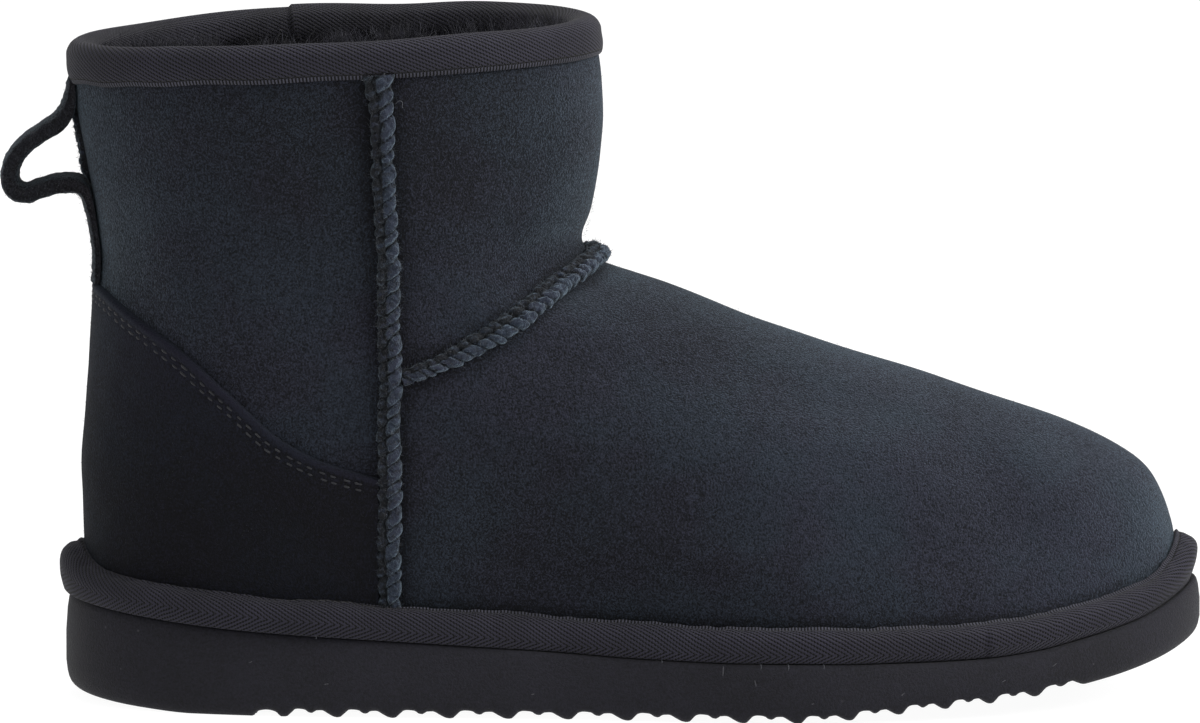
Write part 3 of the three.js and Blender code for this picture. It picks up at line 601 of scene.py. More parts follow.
def suede(name, colour, sheen, tone=False, gloss=0.16):
    """Nap: fine grain, brushed patches and wide soft clouds, warmer and cooler by turns. With tone, the mesh's
    tone attribute adds painted shade and light.
    """
    made = Shader(name, Roughness=0.92 - gloss / 2, Sheen_Roughness=0.42, Specular_IOR_Level=gloss)
    made.surface.inputs["Sheen Tint"].default_value = SHEEN_TINT
    grain = made.noise(0.46, 2.0, 0.75, 1.2)
    patches = made.noise(1.8, 3.0, 0.65)
    clouds = made.noise(34, 3.0, 0.6)
    nap = made.math("MULTIPLY_ADD", grain, 1.05, -0.2)
    nap = made.plus(nap, patches, 0.16)
    nap = made.plus(nap, clouds, 0.2)
    if tone:
        nap = made.plus(nap, made.tone())
    brightness = made.spread(nap, 0.34, 0.74)
    base = made.blend(brightness, shade(colour, 0.2), shade(colour, 2.0))
    tint = made.blend(made.spread(clouds, 0.4, 0.62), WARM_TINT, COOL_TINT)
    made.drive("Base Color", made.blend(1.0, base, tint, "MULTIPLY"))
    made.drive("Sheen Weight", made.math("MULTIPLY_ADD", brightness, 1.3 * sheen, 0.35 * sheen))
    made.bump(made.plus(grain, patches, 0.4), 0.6, 0.8)
    return made.material


def tape_material(name, flip_at):
    """Twill of dotted cords that turns at a distance from its first edge, where it has a ladder stitch."""
    made = Shader(name, Roughness=0.8, Sheen_Weight=0.06, Sheen_Roughness=0.4, Specular_IOR_Level=0.18)
    uv = made.node("ShaderNodeSeparateXYZ", {0: made.node("ShaderNodeUVMap").outputs[0]})
    along, across = uv.outputs[0], uv.outputs[1]
    turned = made.math("ABSOLUTE", made.math("SUBTRACT", across, flip_at))
    slanted = made.math("MULTIPLY_ADD", turned, 0.88, made.math("MULTIPLY", along, 0.48))
    cord = made.math("SINE", made.math("MULTIPLY", slanted, TURN / TWILL_PITCH))
    dots = made.math("SINE", made.math("MULTIPLY", along, TURN / DOT_PITCH))
    hole = made.spread(made.math("MULTIPLY_ADD", dots, 0.75, cord), -0.1, 1.05)
    weave = made.plus(1.0, made.spread(cord, -0.3, 0.9), -0.3)
    weave = made.plus(weave, hole, -0.9)
    rung = made.spread(made.math("SINE", made.math("MULTIPLY", along, TURN / LADDER_PITCH)), -0.6, 0.4)
    edge = made.spread(across, SELVEDGE, SELVEDGE + 0.15, 1.0, 0.0)
    valley = made.math("MULTIPLY", made.spread(across, SELVEDGE, SELVEDGE + 0.2),
                       made.spread(across, SELVEDGE + 0.3, SELVEDGE + 0.6, 1.0, 0.0))
    height = made.node("ShaderNodeMix", {0: edge, 2: weave, 3: rung}).outputs[0]
    height = made.plus(height, valley, -0.7)
    worn = made.math("MULTIPLY_ADD", made.noise(14, 3.0), 0.9, 0.55)
    cloth = made.blend(height, shade(TAPE_COLOUR, 0.03), shade(TAPE_COLOUR, 3.2))
    ladder = made.blend(rung, shade(TAPE_COLOUR, 0.15), shade(LADDER_COLOUR, 1))
    # random wear, and on the collar the painted shade inside it, carried by the tone attribute
    light = made.plus(worn, made.tone())
    grey = made.node("ShaderNodeCombineXYZ", {0: light, 1: light, 2: light}).outputs[0]
    made.drive("Base Color", made.blend(1.0, made.blend(edge, cloth, ladder), grey, "MULTIPLY"))
    made.bump(height, 0.4, 0.9)
    return made.material


def foam_material():
    """Moulded foam: fine pits, a slight grain and rare pale specks."""
    made = Shader("sole_foam", Roughness=0.75, Specular_IOR_Level=0.2, Sheen_Weight=0.04)
    pits = made.noise(0.6, 3.0, 0.75)
    stains = made.noise(28, 4.0, 0.6)
    speck = made.node("ShaderNodeTexVoronoi", {"Vector": made.place(), "Scale": 240.0})
    number = made.node("ShaderNodeSeparateColor", {0: speck.outputs["Color"]}).outputs[0]
    chosen = made.math("GREATER_THAN", number, 0.86)
    dot = made.math("MULTIPLY", made.spread(speck.outputs["Distance"], 0.04, 0.1, 0.4, 0.0), chosen)
    level = made.math("MULTIPLY_ADD", pits, 0.9, made.math("MULTIPLY", stains, 0.3))
    plain = made.blend(made.spread(level, 0.3, 0.9), shade(FOAM_COLOUR, 0.2), shade(FOAM_COLOUR, 1.9))
    made.drive("Base Color", made.blend(dot, plain, shade(SPECK_COLOUR, 1)))
    made.bump(pits, 0.4, 0.8)
    return made.material


def fleece_material(name, colour, hairy=False):
    made = Shader(name, Roughness=0.9, Sheen_Weight=0.12, Sheen_Roughness=0.5, Specular_IOR_Level=0.15)
    locks = made.noise(2.4, 4.0, 0.65)
    patches = made.noise(12, 2.0)
    level = made.math("MULTIPLY_ADD", locks, 0.7, made.math("MULTIPLY", patches, 0.4))
    made.drive("Base Color", made.blend(made.spread(level, 0.3, 0.8), shade(colour, 0.4), shade(colour, 1.9)))
    if not hairy:
        made.bump(locks, 1.2, 1.0)
    return made.material


def thread_material(name, colour):
    made = Shader(name, Roughness=0.7, Sheen_Weight=0.2, Specular_IOR_Level=0.3)
    made.surface.inputs["Base Color"].default_value = shade(colour, 1)
    return made.material


# Colours, linear
SUEDE_COLOUR = (0.0087, 0.0103, 0.0162)
COUNTER_COLOUR = (0.0031, 0.0034, 0.0068)
SEAM_COLOUR = (0.0062, 0.0084, 0.0156)
LOOP_COLOUR = (0.0074, 0.0069, 0.0094)
TAPE_COLOUR = (0.0059, 0.0056, 0.0088)
LADDER_COLOUR = (0.043, 0.043, 0.058)
FOAM_COLOUR = (0.0064, 0.0062, 0.0098)
SPECK_COLOUR = (0.075, 0.075, 0.085)
FLEECE_COLOUR = (0.0019, 0.0019, 0.0027)
HAIR_COLOUR = (0.0026, 0.0026, 0.0039)
RIM_HAIR_COLOUR = (0.018, 0.018, 0.024)
STITCH_COLOUR = (0.0088, 0.0092, 0.0125)
THREAD_COLOUR = (0.016, 0.017, 0.022)
SEAM_THREAD_COLOUR = (0.034, 0.039, 0.049)
FIBRE_COLOUR = (0.07, 0.074, 0.088)
SCUFF_COLOUR = (0.03, 0.03, 0.038)
SHEEN_TINT = (0.64, 0.84, 1, 1)
WARM_TINT = (1.09, 0.975, 1.02, 1)  # lays a share of itself over the suede's colour
COOL_TINT = (0.93, 1.025, 1, 1)


# Lines of the seams. Lean of the side seams: shares of COLLAR_HEIGHT, shares of SEAM_WIDTH
SEAM_LEAN = ((0, 0.25, 0.5, 0.75, 1), (-0.1, -0.04, 0, -0.17, -0.5))
seam_lean = curve_of(SEAM_LEAN, COLLAR_HEIGHT, SEAM_WIDTH)
# Seam over the instep: shares of its length, shares of VAMP_RISE
VAMP_SEAM = ((0, 0.15, 0.42, 0.68, 0.85, 1), (0, 0.105, 0.352, 0.67, 0.868, 1))
VAMP_START = SIDE_SEAM_X + 0.8 * SEAM_WIDTH + GAP
VAMP_END = THROAT_X + 0.4 * SEAM_WIDTH
VAMP_RISE = THROAT_HEIGHT - 0.15 * SEAM_WIDTH - VAMP_SEAM_HEIGHT
vamp_line = curve_of(VAMP_SEAM, VAMP_END - VAMP_START, VAMP_RISE)

# Creases in the side view: from and to (length, height), height of the ridge or depth of the trough,
# half-width, and the sides that they are on (-1 lateral, 1 medial, 0 both)
CREASES = (
    ((96, 96), (138, 122), -0.7, 7, 0),
    ((102, 86), (146, 106), 0.5, 8, 0),
    ((118, 122), (128, 142), 0.5, 7, 0),
    ((128, 76), (168, 88), -0.45, 9, 0),
    ((226, 62), (238, 44), -0.6, 8, -1),
    ((240, 64), (252, 46), 0.5, 8, -1),
    ((160, 48), (205, 42), -0.4, 10, 0),
    ((30, 112), (66, 104), -0.5, 10, 0),
    ((22, 126), (60, 132), 0.4, 11, 0),
    ((98, 136), (120, 132), -0.35, 8, 0),
)


def distance_to(x, z, start, end):
    """Distance in the side view to the stretch from start to end."""
    run = np.subtract(end, start).astype(float)
    share = np.clip(((x - start[0]) * run[0] + (z - start[1]) * run[1]) / (run @ run), 0, 1)
    return np.hypot(x - start[0] - share * run[0], z - start[1] - share * run[1])


def seam_distances(points):
    """Distances to the side seams and to the vamp seam."""
    x, z = points[..., 0], points[..., 2]
    to_side = np.abs(x - SIDE_SEAM_X - seam_lean(z))
    slope = np.hypot(VAMP_RISE, VAMP_END - VAMP_START) / (VAMP_END - VAMP_START)
    to_vamp = np.abs(z - VAMP_SEAM_HEIGHT - vamp_line(x - VAMP_START)) / slope
    to_vamp = to_vamp + np.maximum(VAMP_START - x, 0) + np.maximum(x - VAMP_END - 6, 0)
    return to_side, to_vamp


def upper_relief(points):
    """How far the suede stands off the plain form, and its tone: a random mottle, painted shade beside the
    seams and above the rand, and painted light towards the toe.
    """
    x, z = points[..., 0], points[..., 2]
    to_side, to_vamp = seam_distances(points)
    near = np.exp(-((to_side / 5.5) ** 2)) + np.exp(-((to_vamp / 5.0) ** 2))
    relief = -0.8 * np.minimum(near, 1.2)
    relief += 0.28 * ripple(points, 46, 3) + 0.1 * ripple(points, 15, 4)
    medial = np.sign(points[..., 1])
    for start, end, height, half_width, side in CREASES:
        here = np.exp(-((distance_to(x, z, start, end) / half_width) ** 2))
        relief += height * here * (1 if side == 0 else smooth(side * medial, -0.5, 0.5))
    ends = smooth(z - sole_top(x), 6, 16)
    over_rand = z - sole_top(x) - RAND_HEIGHT
    # tone: a faint random mottle, and painted shade beside the seams, where the suede dips
    tone = 0.03 * ripple(points, 60, 9) - 0.1 * smooth(near, 0.15, 0.9)
    # painted shade: a dark band just above the rand's top edge, where the tape shades the suede
    tone -= 0.1 * np.exp(-((over_rand / 1.8) ** 2))
    # painted light: lighter towards the forefoot and the toe, where the light falls more strongly
    tone += 0.04 * smooth(x, 150, 200) + 0.03 * smooth(x, 215, 262)
    return relief * ends, tone


def add_upper(finish):
    angle = even_angles(UPPER_MESH[0], 0.25)[None, :]
    level = np.linspace(0, 1, UPPER_MESH[1])[:, None]
    relief, tone = upper_relief(skin(angle, level))
    wall = make_grid("upper_suede", off_skin(angle, level, relief), finish, tone=tone)
    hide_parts("upper")


# Tapes
def rounded(table, count):
    """Points along a smooth line through a table's rows."""
    table = np.array(table, float)
    run = run_lengths(table)
    at = np.linspace(0, run[-1], count)
    return np.stack([cubic(run, table[:, i], at) for i in range(table.shape[1])], -1)


def wave_along(points, size, seed):
    """A ripple that is the same at every height."""
    return ripple(points * [1, 1, 0], size, seed)


def overlap_at(points, start, rise, hold, fade):
    """1 past a tape's joint, fading out after hold to 0 at fade."""
    x = points[..., 0]
    return smooth(x, start - rise, start + rise) * (1 - smooth(x, start + hold, start + fade))


# Rand section: share of its height, share of RAND_DEPTH, from its top inner edge outwards and down
RAND_SECTION = (
    (0.9, -0.03), (0.96, 0.03), (1, 0.1), (0.94, 0.21), (0.925, 0.4), (0.86, 0.66), (0.74, 0.87),
    (0.56, 0.98), (0.36, 1), (0.16, 0.95), (0, 0.85), (-0.02, 0.3), (0, 0),
)


def add_rand(finish):
    angle = even_angles(RAND_MESH[0], RAND_LEVEL)
    up, out = rounded(RAND_SECTION, RAND_MESH[1]).T[..., None]
    top = level_over_sole(angle, rand_height(angle))
    over_counter = smooth(np.cos(angle), 0.1, 0.8) * (COUNTER_THICKNESS + 0.5) * np.clip(out * 8, 0, 1)
    points = off_plan(angle, np.clip(up, 0, 1) * top, GAP + out * RAND_DEPTH + over_counter)
    points[..., 2] = mix(sole_top(points[..., 0]) + GAP, skin(angle, top)[..., 2], up)
    overlap = np.where(points[..., 1] < 0, overlap_at(points, RAND_JOINT_X, 0.5, 2, 26), 0)
    swell = 0.16 * wave_along(points, 24, 21) + 0.5 * overlap * np.clip(out * 3, 0, 1)
    points = points + plan_normal(angle, RAND_LEVEL) * (swell * np.clip(out * 2, 0, 1))[..., None]
    uneven = 0.25 * wave_along(points, 17, 22) + 0.12 * wave_along(points, 3.6, 23)
    points[..., 2] += uneven * smooth(up, 0.6, 1)
    tape = make_grid("rand_tape", points, finish, flip=True, uv=ring_uv(points, RAND_HIDDEN))
    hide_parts("rand_binding")


# Collar section: depth under the wall's top edge, distance outside the wall
INSIDE = -WALL - GAP
COLLAR_SECTION = (
    (TAPE_DEPTH - 0.6, 0.0),
    (TAPE_DEPTH, 0.15),
    (TAPE_DEPTH, 0.38 * TAPE_BULGE),
    (0.7 * TAPE_DEPTH, 0.85 * TAPE_BULGE),
    (0.35 * TAPE_DEPTH, TAPE_BULGE),
    (-0.1 * TAPE_RISE, TAPE_BULGE),
    (-0.6 * TAPE_RISE, 0.65 * TAPE_BULGE),
    (-0.93 * TAPE_RISE, -0.2),
    (-TAPE_RISE, 0.42 * INSIDE),
    (-0.9 * TAPE_RISE, 0.9 * INSIDE),
    (-0.45 * TAPE_RISE, INSIDE - 0.7 * WOOL_ROLL),
    (0.3 * TAPE_DEPTH, INSIDE - 0.95 * WOOL_ROLL),
    (0.95 * TAPE_DEPTH, INSIDE - 0.6 * WOOL_ROLL),
)


def add_collar(finish):
    angle = even_angles(COLLAR_MESH[0], 1)
    below, out = rounded(COLLAR_SECTION, COLLAR_MESH[1]).T
    below, out, angle = np.broadcast_arrays(below[:, None], out[:, None], angle)
    below = np.where(below > 0, below * tape_depth(angle) / TAPE_DEPTH, below)
    level = np.ones(below.shape)
    under = below[:, 0] > 0
    level[under] = level_below_collar(angle[under], below[under])
    points = off_plan(angle, level, out)
    points[..., 2] = skin(angle, 1)[..., 2] - below
    joint_x = COLLAR_JOINT_X + 0.12 * (below + TAPE_RISE)
    overlap = np.where(points[..., 1] > 0, overlap_at(points, joint_x, 0.3, 3, 34), 0)
    bulge = 0.16 * wave_along(points, 30, 31) + np.where(out < 0.3 * INSIDE, -0.7, 0.5) * overlap
    points = points + plan_normal(angle, 1) * bulge[..., None]
    top = smooth(-below, -TAPE_DEPTH, TAPE_RISE)
    points[..., 2] += (0.7 * overlap + 0.22 * wave_along(points, 36, 32)) * top
    points[..., 2] += 0.18 * wave_along(points, 19, 33) * (1 - top)
    # painted shade: the tape darker where it turns down inside the collar, out of the light
    painted_shade_inside = -0.45 * smooth(-out, 0.2, 1 - INSIDE)
    uv = ring_uv(points, COLLAR_HIDDEN)
    tape = make_grid("collar_tape", points, finish, uv=uv, tone=painted_shade_inside)
    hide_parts("collar_binding")


# Outsole
# Side wall: share of the way down, margin past the upper, and how much a row follows the tread
SOLE_SIDE = (
    (0, 0, 0),
    (0, 0.6 * SOLE_TOP_MARGIN, 0),
    (0, 0.94 * SOLE_TOP_MARGIN, 0),
    (0.03, SOLE_TOP_MARGIN, 0),
    (0.14, mix(SOLE_TOP_MARGIN, SOLE_MARGIN, 0.5), 0),
    (0.35, mix(SOLE_TOP_MARGIN, SOLE_MARGIN, 0.8), 0),
    (0.55, SOLE_MARGIN, 0),
    (0.7, SOLE_MARGIN, 0),
    (0.8, mix(SOLE_MARGIN, SOLE_EDGE_MARGIN, 0.1), 0.15),
    (0.88, mix(SOLE_MARGIN, SOLE_EDGE_MARGIN, 0.22), 0.4),
    (0.94, mix(SOLE_MARGIN, SOLE_EDGE_MARGIN, 0.42), 0.7),
    (0.98, mix(SOLE_MARGIN, SOLE_EDGE_MARGIN, 0.7), 0.9),
    (1, SOLE_EDGE_MARGIN, 1),
)
# One cell of the tread: shares of its length, shares of TREAD_DEPTH above the ribs
CELL = (
    (0, 0.05, 0.11, 0.17, 0.25, 0.38, 0.46, 0.52, 0.6, 0.7, 0.83, 0.93, 1),
    (0, 0.06, 0.45, 0.86, 1, 0.92, 0.56, 0.5, 0.82, 0.86, 0.42, 0.08, 0),
)


def rib_length(rib):
    share = rib / TREAD_CELLS
    drift = TREAD_DRIFT * np.maximum(0, np.sin(np.pi * share**1.4)) ** 1.5
    return TREAD_START + TREAD_LENGTH * share + drift


def tread(x, y):
    """Height of the underside above the ribs' faces."""
    reach = BALL_WIDTH / 2 + 3 * SOLE_MARGIN
    turns = (y + reach) / (reach / 2)
    zigzag = TREAD_ZIGZAG * (1 - 2 * np.abs(turns % 2 - 1))
    ribs = rib_length(np.arange(TREAD_CELLS + 1.0))
    local = x - zigzag
    cell = np.clip(np.searchsorted(ribs, local) - 1, 0, TREAD_CELLS - 1)
    along = (local - ribs[cell]) / (ribs[cell + 1] - ribs[cell])
    inside = (along >= 0) & (along <= 1)
    groove = np.clip(1 - ((ribs[0] - FIRST_GROOVE - local) / FIRST_GROOVE_HALF) ** 2, 0, 1)
    ribbed = cubic(*CELL, np.clip(along, 0, 1), True)
    return np.where(inside, ribbed, 0.8 * np.sqrt(groove)) * TREAD_DEPTH


def add_outsole(finish):
    angle = even_angles(SOLE_WALL_MESH[0], RAND_LEVEL)
    down, margin, follow = rounded(SOLE_SIDE, SOLE_WALL_MESH[1]).T[..., None]
    points = off_plan(angle, RAND_LEVEL, margin)
    x = points[..., 0]
    edge = off_plan(angle, RAND_LEVEL, SOLE_EDGE_MARGIN)
    grooves = tread(edge[:, 0], edge[:, 1]) * np.clip(follow, 0, 1)
    points[..., 2] = mix(sole_top(x), sole_bottom(x), np.clip(down, 0, 1)) + grooves
    wall = make_grid("outsole_wall", points, finish)
    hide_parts("outsole")
    half = len(angle) // 2
    lateral, medial = edge[: half + 1], np.concatenate([edge[:1], edge[half:][::-1]])
    under = mix(lateral, medial, np.linspace(0, 1, TREAD_ROWS)[:, None, None])
    under[..., 2] = sole_bottom(under[..., 0]) + tread(under[..., 0], under[..., 1])
    under[0, :, 2] = points[-1, : half + 1, 2]
    make_grid("outsole_tread", under, finish, closed=False)


# Scuffs on the near side of the sole: length along, height, run along, run up
SCUFFS = (
    (165, 12, 0.1, 2.6),
    (173, 9.5, -0.4, 1.6),
    (207, 7, 1.0, 0.7),
    (48, 13.5, 1.1, 0.4),
    (66, 8.5, 1.5, 0.2),
    (117, 6.4, 0.9, 0.2),
    (186, 5.2, 0.6, 0.2),
    (231, 9.4, 1.3, 0.5),
    (243, 12.5, 1.6, 0.8),
)
SCUFF_RADIUS = 0.1
SIDE_PER_TURN = 138  # millimetres of the sole's side to a radian of angle


def add_scuffs(finish):
    paths = []
    share = np.linspace(0, 1, 5)
    for x, z, run, rise in SCUFFS:
        angles = angle_at_length(x, RAND_LEVEL) + share * run / SIDE_PER_TURN
        points = off_plan(angles, RAND_LEVEL, SOLE_MARGIN - 0.6 * SCUFF_RADIUS)
        points[:, 2] = z + share * rise
        paths.append(points)
    tubes("sole_scuffs", paths, SCUFF_RADIUS, finish, sides=4)


# Counter. Its top edge: shares of its length, shares of the fall of the edge to its front
COUNTER_EDGE = ((0, 0.05, 0.15, 0.33, 0.5, 0.67, 0.83, 1), (1, 0.98, 0.885, 0.695, 0.455, 0.212, 0.08, 0))
# Rows near that edge: distance from it, share of the panel's height over the upper. The two dips hold
# the stitches, and from row CUT_EDGE_ROW on the cut edge is lighter
COUNTER_EDGE_ROWS = (
    (4.6, 1), (4.0, 0.96), (3.7, 0.93), (3.3, 0.98), (2.9, 1), (2.5, 0.96), (2.2, 0.93), (1.8, 0.98),
    (1.2, 1.06), (0.7, 1.05), (0.35, 0.96), (0.12, 0.74), (0, 0.4), (0, 0.0), (0.2, -0.25),
)
CUT_EDGE_ROW = 8
COUNTER_FACE = COUNTER_THICKNESS + 0.2
STITCH_ROWS = ((2.3, 5), (3.8, 6))  # distance from the edge, seed
COUNTER_FRONT = SIDE_SEAM_X - SEAM_WIDTH / 2 - 2 * GAP
counter_drop = curve_of(COUNTER_EDGE, COUNTER_FRONT - UPPER_BACK, COUNTER_HEIGHT - COUNTER_FRONT_HEIGHT)


def counter_edge(x):
    return COUNTER_FRONT_HEIGHT + counter_drop(np.maximum(x - UPPER_BACK, 0))


def side_seam_place(level, ahead=0.0):
    z = skin(angle_at_length(SIDE_SEAM_X, level), level)[..., 2]
    return angle_at_length(SIDE_SEAM_X + seam_lean(z) + ahead, level)


def counter_angle(side, level):
    return side * side_seam_place(level, COUNTER_FRONT - SIDE_SEAM_X + 1.2)


def counter_ends(side):
    """Levels of the counter's foot and of its top edge."""
    def over_foot(level):
        angle = counter_angle(side, level)
        p = skin(angle, level)
        return p[..., 2] - sole_top(p[..., 0]) - rand_height(angle) + 2

    def over_top(level):
        p = skin(counter_angle(side, level), level)
        return p[..., 2] - counter_edge(p[..., 0])

    foot = solve(over_foot, 0, 0.6, side)
    return foot, solve(over_top, foot, 1, side)


def counter_swell(points):
    return 0.14 * ripple(points, 30, 41)


def below_edge(side, depth):
    """Angle and level on the counter at a distance under its top edge."""
    _, top = counter_ends(side)
    a, b = skin(counter_angle(side, top), top), skin(counter_angle(side, top - 0.01), top - 0.01)
    edge = np.gradient(a, axis=0)
    drop = b - a
    lean = np.linalg.norm(np.cross(unit(edge), drop), axis=-1)
    level = top - 0.01 * depth / lean
    return counter_angle(side, level), level


def add_counter(finish, thread):
    columns, flat_rows = COUNTER_MESH
    side = np.linspace(-1, 1, columns)
    foot, _ = counter_ends(side)
    _, high = below_edge(side, COUNTER_EDGE_ROWS[0][0])
    flat = mix(foot, high, np.linspace(0, 1, flat_rows + 1)[:-1, None])
    edge = [below_edge(side, depth) for depth, _ in COUNTER_EDGE_ROWS]
    angle = np.vstack([counter_angle(side, flat), [row[0] for row in edge]])
    level = np.vstack([flat, [row[1] for row in edge]])
    share = np.concatenate([np.ones(flat_rows), [row[1] for row in COUNTER_EDGE_ROWS]])[:, None]
    plain = skin(angle, level)
    out = share * COUNTER_FACE + counter_swell(plain) + 0.05 * ripple(plain, 9, 42)
    points = off_skin(angle, level, out)
    cut_edge = (np.arange(len(share))[:, None] >= flat_rows + CUT_EDGE_ROW) & (share > 0.3)
    # tone: painted light, the panel lighter higher up than at its foot; the lighter cut edge is the suede's own
    # colour
    tone = 0.12 * smooth(points[..., 2], 50, 95) - 0.05 + 0.16 * cut_edge
    panel = make_grid("counter_suede", points, finish, closed=False, tone=tone)
    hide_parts("heel_counter")
    add_counter_stitches(thread)


def add_counter_stitches(thread):
    fine = np.linspace(-0.985, 0.985, 1500)
    paths = []
    bow = STITCH_BOW * np.sin(np.linspace(0, np.pi, STITCH_POINTS)) - STITCH_SINK
    for depth, seed in STITCH_ROWS:
        angle, level = below_edge(fine, depth)
        run = run_lengths(skin(angle, level))
        random = np.random.default_rng(seed)
        for start in np.arange(0.8, run[-1] - STITCH_PITCH, STITCH_PITCH):
            start = start + random.uniform(-0.3, 0.3)
            length = STITCH_LENGTH * random.uniform(0.7, 1.1)
            along = start + np.linspace(0, length, STITCH_POINTS)
            place = np.interp(along, run, angle), np.interp(along, run, level)
            lift = COUNTER_FACE + bow + random.uniform(-0.06, 0.06)
            paths.append(off_skin(*place, lift + counter_swell(skin(*place))))
    tubes("counter_stitches", paths, STITCH_RADIUS, thread)


# Raised seams
FUZZ_ROOTS = []  # points of the seams that carry loose fibres


def seam_relief(along, across, random_sizes, pitch):
    """Height of a whip-stitched seam, for shares across from -0.5 to 0.5, and the shape of its beads alone."""
    split = SEAM_SPLIT + 0.05 * np.sin(along / pitch * 3.1) + 0.03 * np.sin(along / pitch * 7.3)
    left = across < split
    middle = np.where(left, (split - 0.5) / 2, (split + 0.5) / 2)
    half = np.where(left, (split + 0.5) / 2, (0.5 - split) / 2)
    s = (across - middle) / half
    slant = np.where(left, -0.4, -0.62)
    row = along / pitch + np.where(left, 0.0, 0.45) + slant * s * half * SEAM_WIDTH / pitch
    row = row + 0.12 * np.sin(row * 2.3) + 0.07 * np.sin(row * 5.1)
    number = np.floor(row).astype(int) + np.where(left, 0, 17)
    size = random_sizes[number % len(random_sizes)]
    shift = random_sizes[(number * 7 + 3) % len(random_sizes)] - 0.92
    t = 2 * (row % 1) - 1
    bead = np.sqrt(np.clip(1 - np.abs(t) ** 3 - 0.8 * np.abs(s - shift) ** 2.6, 0, 1))
    body = np.sqrt(np.clip(1 - np.abs(2 * across) ** 3, 0, 1))
    return 0.5 * body + np.where(left, 0.3, 0.48) * bead * size, bead


def seam_strip(name, angle, level, finish, pitch, scale=1.0, columns=38, seed=11, width=1.0, rise=1.0):
    """A strip of two lumpy rows along places on the skin. width and rise may change along it."""
    centre = skin(angle, level)
    tangent = unit(np.gradient(centre, axis=0))
    across_way = unit(np.cross(tangent, normal_at(angle, level)))
    run = run_lengths(centre)
    sizes = np.random.default_rng(seed).uniform(0.74, 1.1, 41)
    share = 0.25 * np.sin(np.linspace(-np.pi / 2, np.pi / 2, columns)) + 0.25 * np.linspace(-1, 1, columns)
    along, across = np.broadcast_arrays(run[:, None], share[None, :])
    height, lump = seam_relief(along, across, sizes, pitch)
    width = np.broadcast_to(width, run.shape)[:, None]
    rise = np.broadcast_to(rise, run.shape)[:, None] * scale
    swell = 1 + 0.34 * (lump - 0.45) * smooth(np.abs(across), 0.2, 0.5)
    swell = swell + 0.06 * ripple(centre, 9, seed + 3)[:, None]
    wander = 0.22 * ripple(centre, 22, seed + 1)[:, None]
    offset = ((across * SEAM_WIDTH * swell * width + wander) * scale)[..., None] * across_way[:, None]
    near_angle, near_level = nearest_place(centre[:, None] + offset, angle[:, None], level[:, None])
    sunk = -0.9 * scale * (np.abs(across) > 0.49)
    here = skin(near_angle, near_level)
    rough = 0.2 * ripple(here, 1.1, seed + 2, 14) + 0.16 * ripple(here, 2.6, seed + 4)
    out = ((SEAM_HEIGHT + 0.6) * height + rough) * rise + sunk
    points = off_skin(near_angle, near_level, out)
    # tone: painted highlight on the beads' crests and painted shade in the grooves between them, with a random
    # fine mottle
    tone = 0.4 * (lump - 0.6) + 0.12 * ripple(here, 1.6, seed + 5)
    # painted shade over the narrower row, as if cast by the taller one, and painted light on the taller row
    tone = tone + np.where(across > SEAM_SPLIT, 0.07, -0.22)
    FUZZ_ROOTS.append(points[:, np.abs(share) < 0.47].reshape(-1, 3))
    return make_grid(name, points, finish, closed=False, tone=tone)


def add_side_seam(node, medial, finish):
    foot_angle, top_angle = side_seam_place(np.array([LEVEL_NEAR_RAND, 1]))
    foot = level_over_sole(foot_angle, rand_height(foot_angle) - SEAM_TUCK_BELOW)
    top = level_below_collar(top_angle, tape_depth(top_angle) - SEAM_TUCK_ABOVE)
    level = np.linspace(foot, top, SIDE_SEAM_POINTS)
    angle = side_seam_place(level)
    flare = 0.88 + 0.3 * smooth(level, level[-1] - 0.05, level[-1])
    strip = seam_strip(node + "_suede", TURN - angle if medial else angle, level, finish, LUMP_PITCH,
                       seed=61 if medial else 51, width=flare)
    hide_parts(node)


def add_vamp_seam(finish):
    count = 190
    x = mix(VAMP_START - VAMP_TUCK, VAMP_END, 1 - (1 - np.arange(count) / count) ** 1.5)
    z = VAMP_SEAM_HEIGHT + vamp_line(x - VAMP_START)
    angle, level = place_on_side(x, z)
    ridge = place_on_side([VAMP_END], [VAMP_SEAM_HEIGHT + VAMP_RISE])[1]
    angle = np.concatenate([angle, [np.pi], TURN - angle[::-1]])
    level = np.concatenate([level, ridge, level[::-1]])
    run = run_lengths(skin(angle, level))
    even = np.linspace(0, run[-1], VAMP_SEAM_POINTS)
    angle, level = np.interp(even, run, angle), np.interp(even, run, level)
    for _ in range(SMOOTHINGS):
        for line in (angle, level):
            line[1:-1] = (line[:-2] + 2 * line[1:-1] + line[2:]) / 4
    to_end = np.minimum(even, run[-1] - even)
    strip = seam_strip("vamp_seam_suede", angle, level, finish, VAMP_LUMP_PITCH, seed=71,
                       width=mix(0.58, 0.88, smooth(to_end, 0, 22)), rise=mix(0.5, 1, smooth(to_end, 0, 6)))
    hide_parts("vamp_seam")


